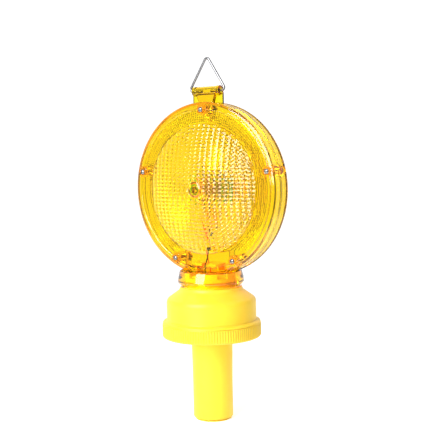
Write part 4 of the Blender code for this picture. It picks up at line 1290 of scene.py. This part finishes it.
class LAMP_OT_battery_tube(bpy.types.Operator):
    """Build the knurled collar with its spigot, end plug and seal"""

    bl_idname = "lamp.battery_tube"
    bl_label = "Collar and Spigot"

    def execute(self, context):
        high = COLLAR_TOP_Z
        outline = rounded([
            (SLEEVE_R, SLEEVE_TOP_Z, 0.3), (SLEEVE_R, COLLAR_FLOOR_Z, 0.4),
            (COLLAR_BORE_R, COLLAR_FLOOR_Z), (COLLAR_BORE_R, high, 0.3), (COLLAR_R, high, 0.3),
        ], 3)
        outline += [(COLLAR_R, z) for z in (high - 0.55, high - 0.65, high - 1.0,
                                            COLLAR_Z + 2.6, COLLAR_Z + 2.05)]
        outline += arc((COLLAR_R - 2.0, COLLAR_Z + 2.0), 1.99, 0, -90, 5)
        outline += rounded([
            (SPIGOT_R + 0.85, COLLAR_Z, 1.4), (SPIGOT_R + 0.1, SPIGOT_FOOT_Z + 40.0, 8.0),
            (SPIGOT_R, SPIGOT_FOOT_Z, 1.6), (SPIGOT_BORE_R, SPIGOT_FOOT_Z, 0.2),
            (SPIGOT_BORE_R, SLEEVE_TOP_Z, 0.2),
        ], 3)
        ribs = sizes().knurl_ribs
        body = lathe(outline, ribs * 6, ring=True, shift=knurl)
        thread = screw_ridge(COLLAR_BORE_R + 0.3, COLLAR_FLOOR_Z + 3.0)
        piece("collar", merged(body, thread), housing(), "spigot", "battery_tube")

        high = top("tube_plug")
        outline = rounded([
            (0.0, high), (SPIGOT_BORE_R - 0.3, high, 0.4), (SPIGOT_BORE_R - 0.3, PLUG_FLOOR),
            (PLUG_R - 0.9, PLUG_FLOOR), (PLUG_R - 0.9, 0.9), (PLUG_R, 0.8, 0.2),
            (PLUG_R, 0.0, 0.3), (15.0, 0.0, 0.3), (14.6, 0.9, 0.3), (0.0, 0.9),
        ])
        tabs = [
            placed(block((3.2, 2.4, 1.5), bevel=0.25),
                   *polar(PLUG_R - 0.9, math.radians(turn), 0.85), (0, 0, turn))
            for turn in (20.0, 110.0, 200.0, 290.0)
        ]
        bar = block((24.0, 2.6, 0.9), (0.0, 0.0, 0.55), bevel=0.25)
        plug = merged(lathe(outline, 96), *tabs, bar)
        piece("plug", plug, housing(), "spigot", "tube_plug")

        middle, outer = (SKIRT_FOOT_Z + COLLAR_FLOOR_Z) / 2, SKIRT_R
        half = (SKIRT_FOOT_Z - COLLAR_FLOOR_Z) / 2 - 0.3
        ring = rounded([(outer, middle + half, 0.5), (outer, middle - half, 0.5),
                        (outer - 2.2, middle - half, 0.5), (outer - 2.2, middle + half, 0.5)])
        piece("seal", lathe(ring, 128, ring=True), rubber(), "gasket", "cap_gasket")
        return {"FINISHED"}


class LAMP_OT_cells(bpy.types.Operator):
    """Build the two cells with their spring and contacts"""

    bl_idname = "lamp.cells"
    bl_label = "Cells and Contacts"

    def execute(self, context):
        for name in ("d_cell_lower", "d_cell_upper"):
            low, high = foot(name), top(name)
            body_top = high - 1.3
            outline = rounded([
                (0.0, high), (4.7, high, 0.4), (4.7, body_top + 0.1), (5.2, body_top, 0.2),
                (CELL_R - 2.6, body_top, 0.3), (CELL_R - 1.6, body_top - 0.7, 0.3),
                (CELL_R - 0.4, body_top - 0.2, 0.4), (CELL_R, body_top - 1.6, 0.4),
                (CELL_R, low + 1.4, 0.4), (CELL_R - 0.9, low, 0.5), (CELL_R - 3.2, low, 0.2),
                (CELL_R - 3.8, low + 0.5, 0.2), (0.0, low + 0.5),
            ])
            piece(name.replace("d_cell", "cell"), lathe(outline, 72), jacket(), "spigot", name)
        low = foot("contact_spring") + 0.55
        high = top("contact_spring") - 0.55
        coil = helix(8.0, 5.0, low, high, 3.0, 36)
        piece("foot_spring", sweep(coil, 0.55, 10), spring_steel(), "spigot", "contact_spring")
        dress(brass(), "negative_strip", "contact_ring", "positive_contact", "negative_contact")
        return {"FINISHED"}


class LAMP_OT_electronics(bpy.types.Operator):
    """Build the control board and what it carries"""

    bl_idname = "lamp.electronics"
    bl_label = "Control Board"

    def execute(self, context):
        low, high = BOARD_Z, top("control_board")
        board = lathe(rounded([(0.0, high), (31.5, high, 0.15), (31.5, low, 0.15), (0.0, low)]), 96)
        drills = [placed(rod(1.4, high + 5, low - 5, 20), side * BOARD_SCREW_X) for side in (-1, 1)]
        piece("flasher_board", cut(board, ("DIFFERENCE", merged(*drills))), board_lacquer(), "base",
              "control_board")
        for side, name in ((-1, "left"), (1, "right")):
            shape = placed(cross_screw(2.4, 1.5, 0.85, 1.1, 5.6, 0.8), BOARD_SCREW_X * side,
                           z=low - 0.3, turn=(180, 0, 0))
            piece("board_fixing_" + name, shape, zinc(), "base", "board_screw_" + name)
        centre, size = room("flasher_chip")
        body = block((size.x, size.y, size.z - 0.4), (centre.x, centre.y, centre.z + 0.2),
                     bevel=0.35)
        dot = placed(rod(0.6, 0.25, 0.0, 20), centre.x - 3.4, centre.y, centre.z + size.z / 2 - 0.3)
        piece("chip", cut(body, ("DIFFERENCE", dot)), black_plastic(), "base", "flasher_chip")
        pins = []
        for i in range(4):
            for side in (-1, 1):
                x = centre.x + (i - 1.5) * 2.54
                path = ((2.9, centre.z), (3.7, centre.z - 0.1), (3.9, centre.z - 0.6),
                        (3.9, high + 0.05))
                pins.append(sweep([(x, centre.y + side * out, z) for out, z in path], 0.24, 8))
        for x, y in ((6.5, 6.0), (-6.5, 6.0), (9.0, -3.0), (-9.0, -3.0), (0.0, -9.0), (-14.0, 9.0)):
            joint = lathe([(0.0, 0.8), (0.35, 0.76), (0.5, 0.4), (1.2, 0.0), (0.0, 0.0)], 16)
            pins.append(placed(joint, x, y, high))
        piece("chip_pins", merged(*pins), solder(), "base")
        low_can, high_can = foot("timing_capacitor"), top("timing_capacitor")
        x, y, _ = room("timing_capacitor")[0]
        outline = rounded([
            (0.0, high_can - 0.15), (2.3, high_can - 0.15), (2.5, high_can, 0.1),
            (3.1, high_can, 0.4), (3.1, low_can + 1.7, 0.2), (2.8, low_can + 1.4, 0.2),
            (3.1, low_can + 1.1, 0.2), (3.1, low_can, 0.3), (0.0, low_can),
        ])
        vents = [block((4.4, 0.25, 0.5), (0.0, 0.0, high_can), turn, 0.05) for turn in (0.0, 90.0)]
        can = cut(lathe(outline, 40), ("DIFFERENCE", vents[0]), ("DIFFERENCE", vents[1]))
        piece("capacitor", placed(can, x, y), jacket(), "base", "timing_capacitor")
        resistors, leads = [], []
        for x, y, turn in ((-12.0, -8.0, 0), (-12.0, -12.5, 0), (-16.0, 6.0, 90), (14.0, 8.0, 90)):
            outline = rounded([(0.0, 3.1), (0.9, 3.1, 0.4), (1.15, 2.2, 0.3), (0.85, 1.2, 0.4),
                               (0.85, -1.2, 0.4), (1.15, -2.2, 0.3), (0.9, -3.1, 0.4), (0.0, -3.1)])
            resistors.append(placed(lathe(outline, 24), x, y, high + 1.3, (0, 90, turn)))
            for end in (-1, 1):
                dx, dy, _ = polar(end, math.radians(turn), 0.0)
                path = ((2.9, 1.3), (3.9, 1.25), (4.2, 0.9), (4.2, 0.0))
                path = [(x + dx * out, y + dy * out, high + z) for out, z in path]
                leads.append(sweep(path, 0.25, 8))
        piece("resistors", merged(*resistors), nylon(), "base")
        piece("resistor_leads", merged(*leads), tinned(), "base")

        for node, name in (("wire_header", "header"), ("wire_plug", "lead_plug")):
            centre, size = room(node)
            body = block(tuple(size), tuple(centre), bevel=0.4, segments=3)
            ribs = [block((0.7, size.y + 0.3, size.z * 0.7),
                          (centre.x + side * size.x * 0.32, centre.y, centre.z), bevel=0.1)
                    for side in (-1, 1)]
            piece(name, merged(body, *ribs), nylon(), "base", node)
        dress(tinned(), "switch_body")
        dress(black_plastic(), "switch_slider")
        return {"FINISHED"}


# Stage


AZIMUTH = 36.56
DISTANCE = 0.976
CAMERA_RISE = 0.03696
PITCH, ROLL, YAW = -3.84, -1.06, 0.33
LENS_MM = 75.83


def camera_matrix():
    """The camera's place and axes: beside the lamp's front, a little above the lens centre."""
    turn, pitch, roll, yaw = (math.radians(a) for a in (AZIMUTH, PITCH, ROLL, YAW))
    ahead = Vector((-math.sin(turn), math.cos(turn), 0.0))
    place = Vector((0.0, 0.0, HEAD_Z * MM + CAMERA_RISE)) - ahead * DISTANCE
    right = Vector((math.cos(turn), math.sin(turn), 0.0))
    up = Vector((0.0, 0.0, 1.0))

    def swung(a, b, angle):
        return math.cos(angle) * a + math.sin(angle) * b, math.cos(angle) * b - math.sin(angle) * a

    ahead, right = swung(ahead, right, yaw)
    ahead, up = swung(ahead, up, pitch)
    right, up = swung(right, up, roll)
    matrix = Matrix.Identity(4)
    for column, axis in enumerate((right, up, -ahead, place)):
        for row in range(3):
            matrix[row][column] = axis[row]
    return matrix


def soft_light(name, azimuth, elevation, distance, size, radiance, aim):
    """A rectangular light. Azimuth 0 is in front of the lamp, and 90 on its right."""
    data = bpy.data.lights.new(name, "AREA")
    data.shape = "RECTANGLE"
    data.size, data.size_y = size
    data.energy = radiance * size[0] * size[1] * math.pi
    made = linked(name, data)
    a, e = math.radians(azimuth), math.radians(elevation)
    out = Vector((math.sin(a) * math.cos(e), -math.cos(a) * math.cos(e), math.sin(e)))
    made.location = aim + out * distance
    made.rotation_mode = "QUATERNION"
    made.rotation_quaternion = out.to_track_quat("Z", "Y")


class LAMP_OT_stage(bpy.types.Operator):
    """Build the camera, the soft lights and the pale floor"""

    bl_idname = "lamp.stage"
    bl_label = "Stage"

    def execute(self, context):
        scene = context.scene
        data = bpy.data.cameras.new("camera")
        data.lens = LENS_MM
        data.sensor_width = 36.0
        data.clip_start, data.clip_end = 0.05, 50.0
        camera = linked("camera", data)
        view = camera_matrix()
        camera.matrix_world = view
        scene.camera = camera

        aim = Vector((0.0, 0.0, 0.2))
        soft_light("key", -3.0, 24.0, 1.6, (0.95, 1.3), 12.0, aim)
        soft_light("side", 100.0, 40.0, 1.6, (0.6, 1.0), 1.8, aim)

        world = bpy.data.worlds.new("Studio")
        world.use_nodes = True
        tree = world.node_tree
        facing = add_node(tree, "ShaderNodeVectorMath", operation="DOT_PRODUCT")
        feed(tree, facing.inputs[0], add_node(tree, "ShaderNodeTexCoord").outputs["Generated"])
        feed(tree, facing.inputs[1], view.col[2].xyz)
        bright = remap(tree, facing.outputs["Value"], -0.75, 0.1, 1.15, 0.34)
        seen = add_node(tree, "ShaderNodeLightPath").outputs["Is Camera Ray"]
        settle(tree, tree.nodes["Background"],
               {"Strength": calc(tree, "MAXIMUM", bright, seen), "Color": (1.0, 1.0, 1.0, 1.0)})
        scene.world = world
        scene.view_settings.view_transform = "Standard"

        shape = lathe([(600.0, -0.1), (600.0, -20.0), (0.0, -20.0)], 96, cap=True)
        made, tree, shader, vector = start_material("Pale Floor")
        tone = layered(tree, (0.93, 0.93, 0.92, 1.0),
                       (noise(tree, vector, 6.0), 1.0, (0.9, 0.9, 0.89)))
        settle(tree, shader, {"Base Color": tone, "Roughness": 0.7, "Emission Strength": 0.45,
                              "Emission Color": (1.0, 1.0, 1.0, 1.0)})
        mesh = mesh_of("floor", shape)
        mesh.materials.append(made)
        linked("floor", mesh)
        return {"FINISHED"}


OPERATORS = (
    LAMP_OT_stage,
    LAMP_OT_battery_tube,
    LAMP_OT_cells,
    LAMP_OT_base_housing,
    LAMP_OT_electronics,
    LAMP_OT_lens_halves,
    LAMP_OT_lens_screws,
    LAMP_OT_bail,
    LAMP_OT_light_board,
    LAMP_OT_wiring,
)


class LAMP_PT_panel(bpy.types.Panel):
    """Lists the lamp's pieces, sizes and colours"""

    bl_idname = "LAMP_PT_panel"
    bl_label = "Warning Lamp"
    bl_space_type = "VIEW_3D"
    bl_region_type = "UI"
    bl_category = "Lamp"

    def draw(self, context):
        for group in (context.scene.lamp_sizes, context.scene.lamp_colours):
            box = self.layout.box()
            for name in group.__annotations__:
                box.prop(group, name)
        for operator in OPERATORS:
            self.layout.operator(operator.bl_idname)


CLASSES = (LampSizes, LampColours, *OPERATORS, LAMP_PT_panel)


def register():
    for cls in CLASSES:
        bpy.utils.register_class(cls)
    bpy.types.Scene.lamp_sizes = bpy.props.PointerProperty(type=LampSizes)
    bpy.types.Scene.lamp_colours = bpy.props.PointerProperty(type=LampColours)


def unregister():
    del bpy.types.Scene.lamp_colours
    del bpy.types.Scene.lamp_sizes
    for cls in reversed(CLASSES):
        bpy.utils.unregister_class(cls)


def main():
    register()
    for operator in OPERATORS:
        group, name = operator.bl_idname.split(".")
        if getattr(getattr(bpy.ops, group), name)() != {"FINISHED"}:
            raise RuntimeError(f"{operator.bl_label} wasn't built")


if __name__ == "__main__":
    main()
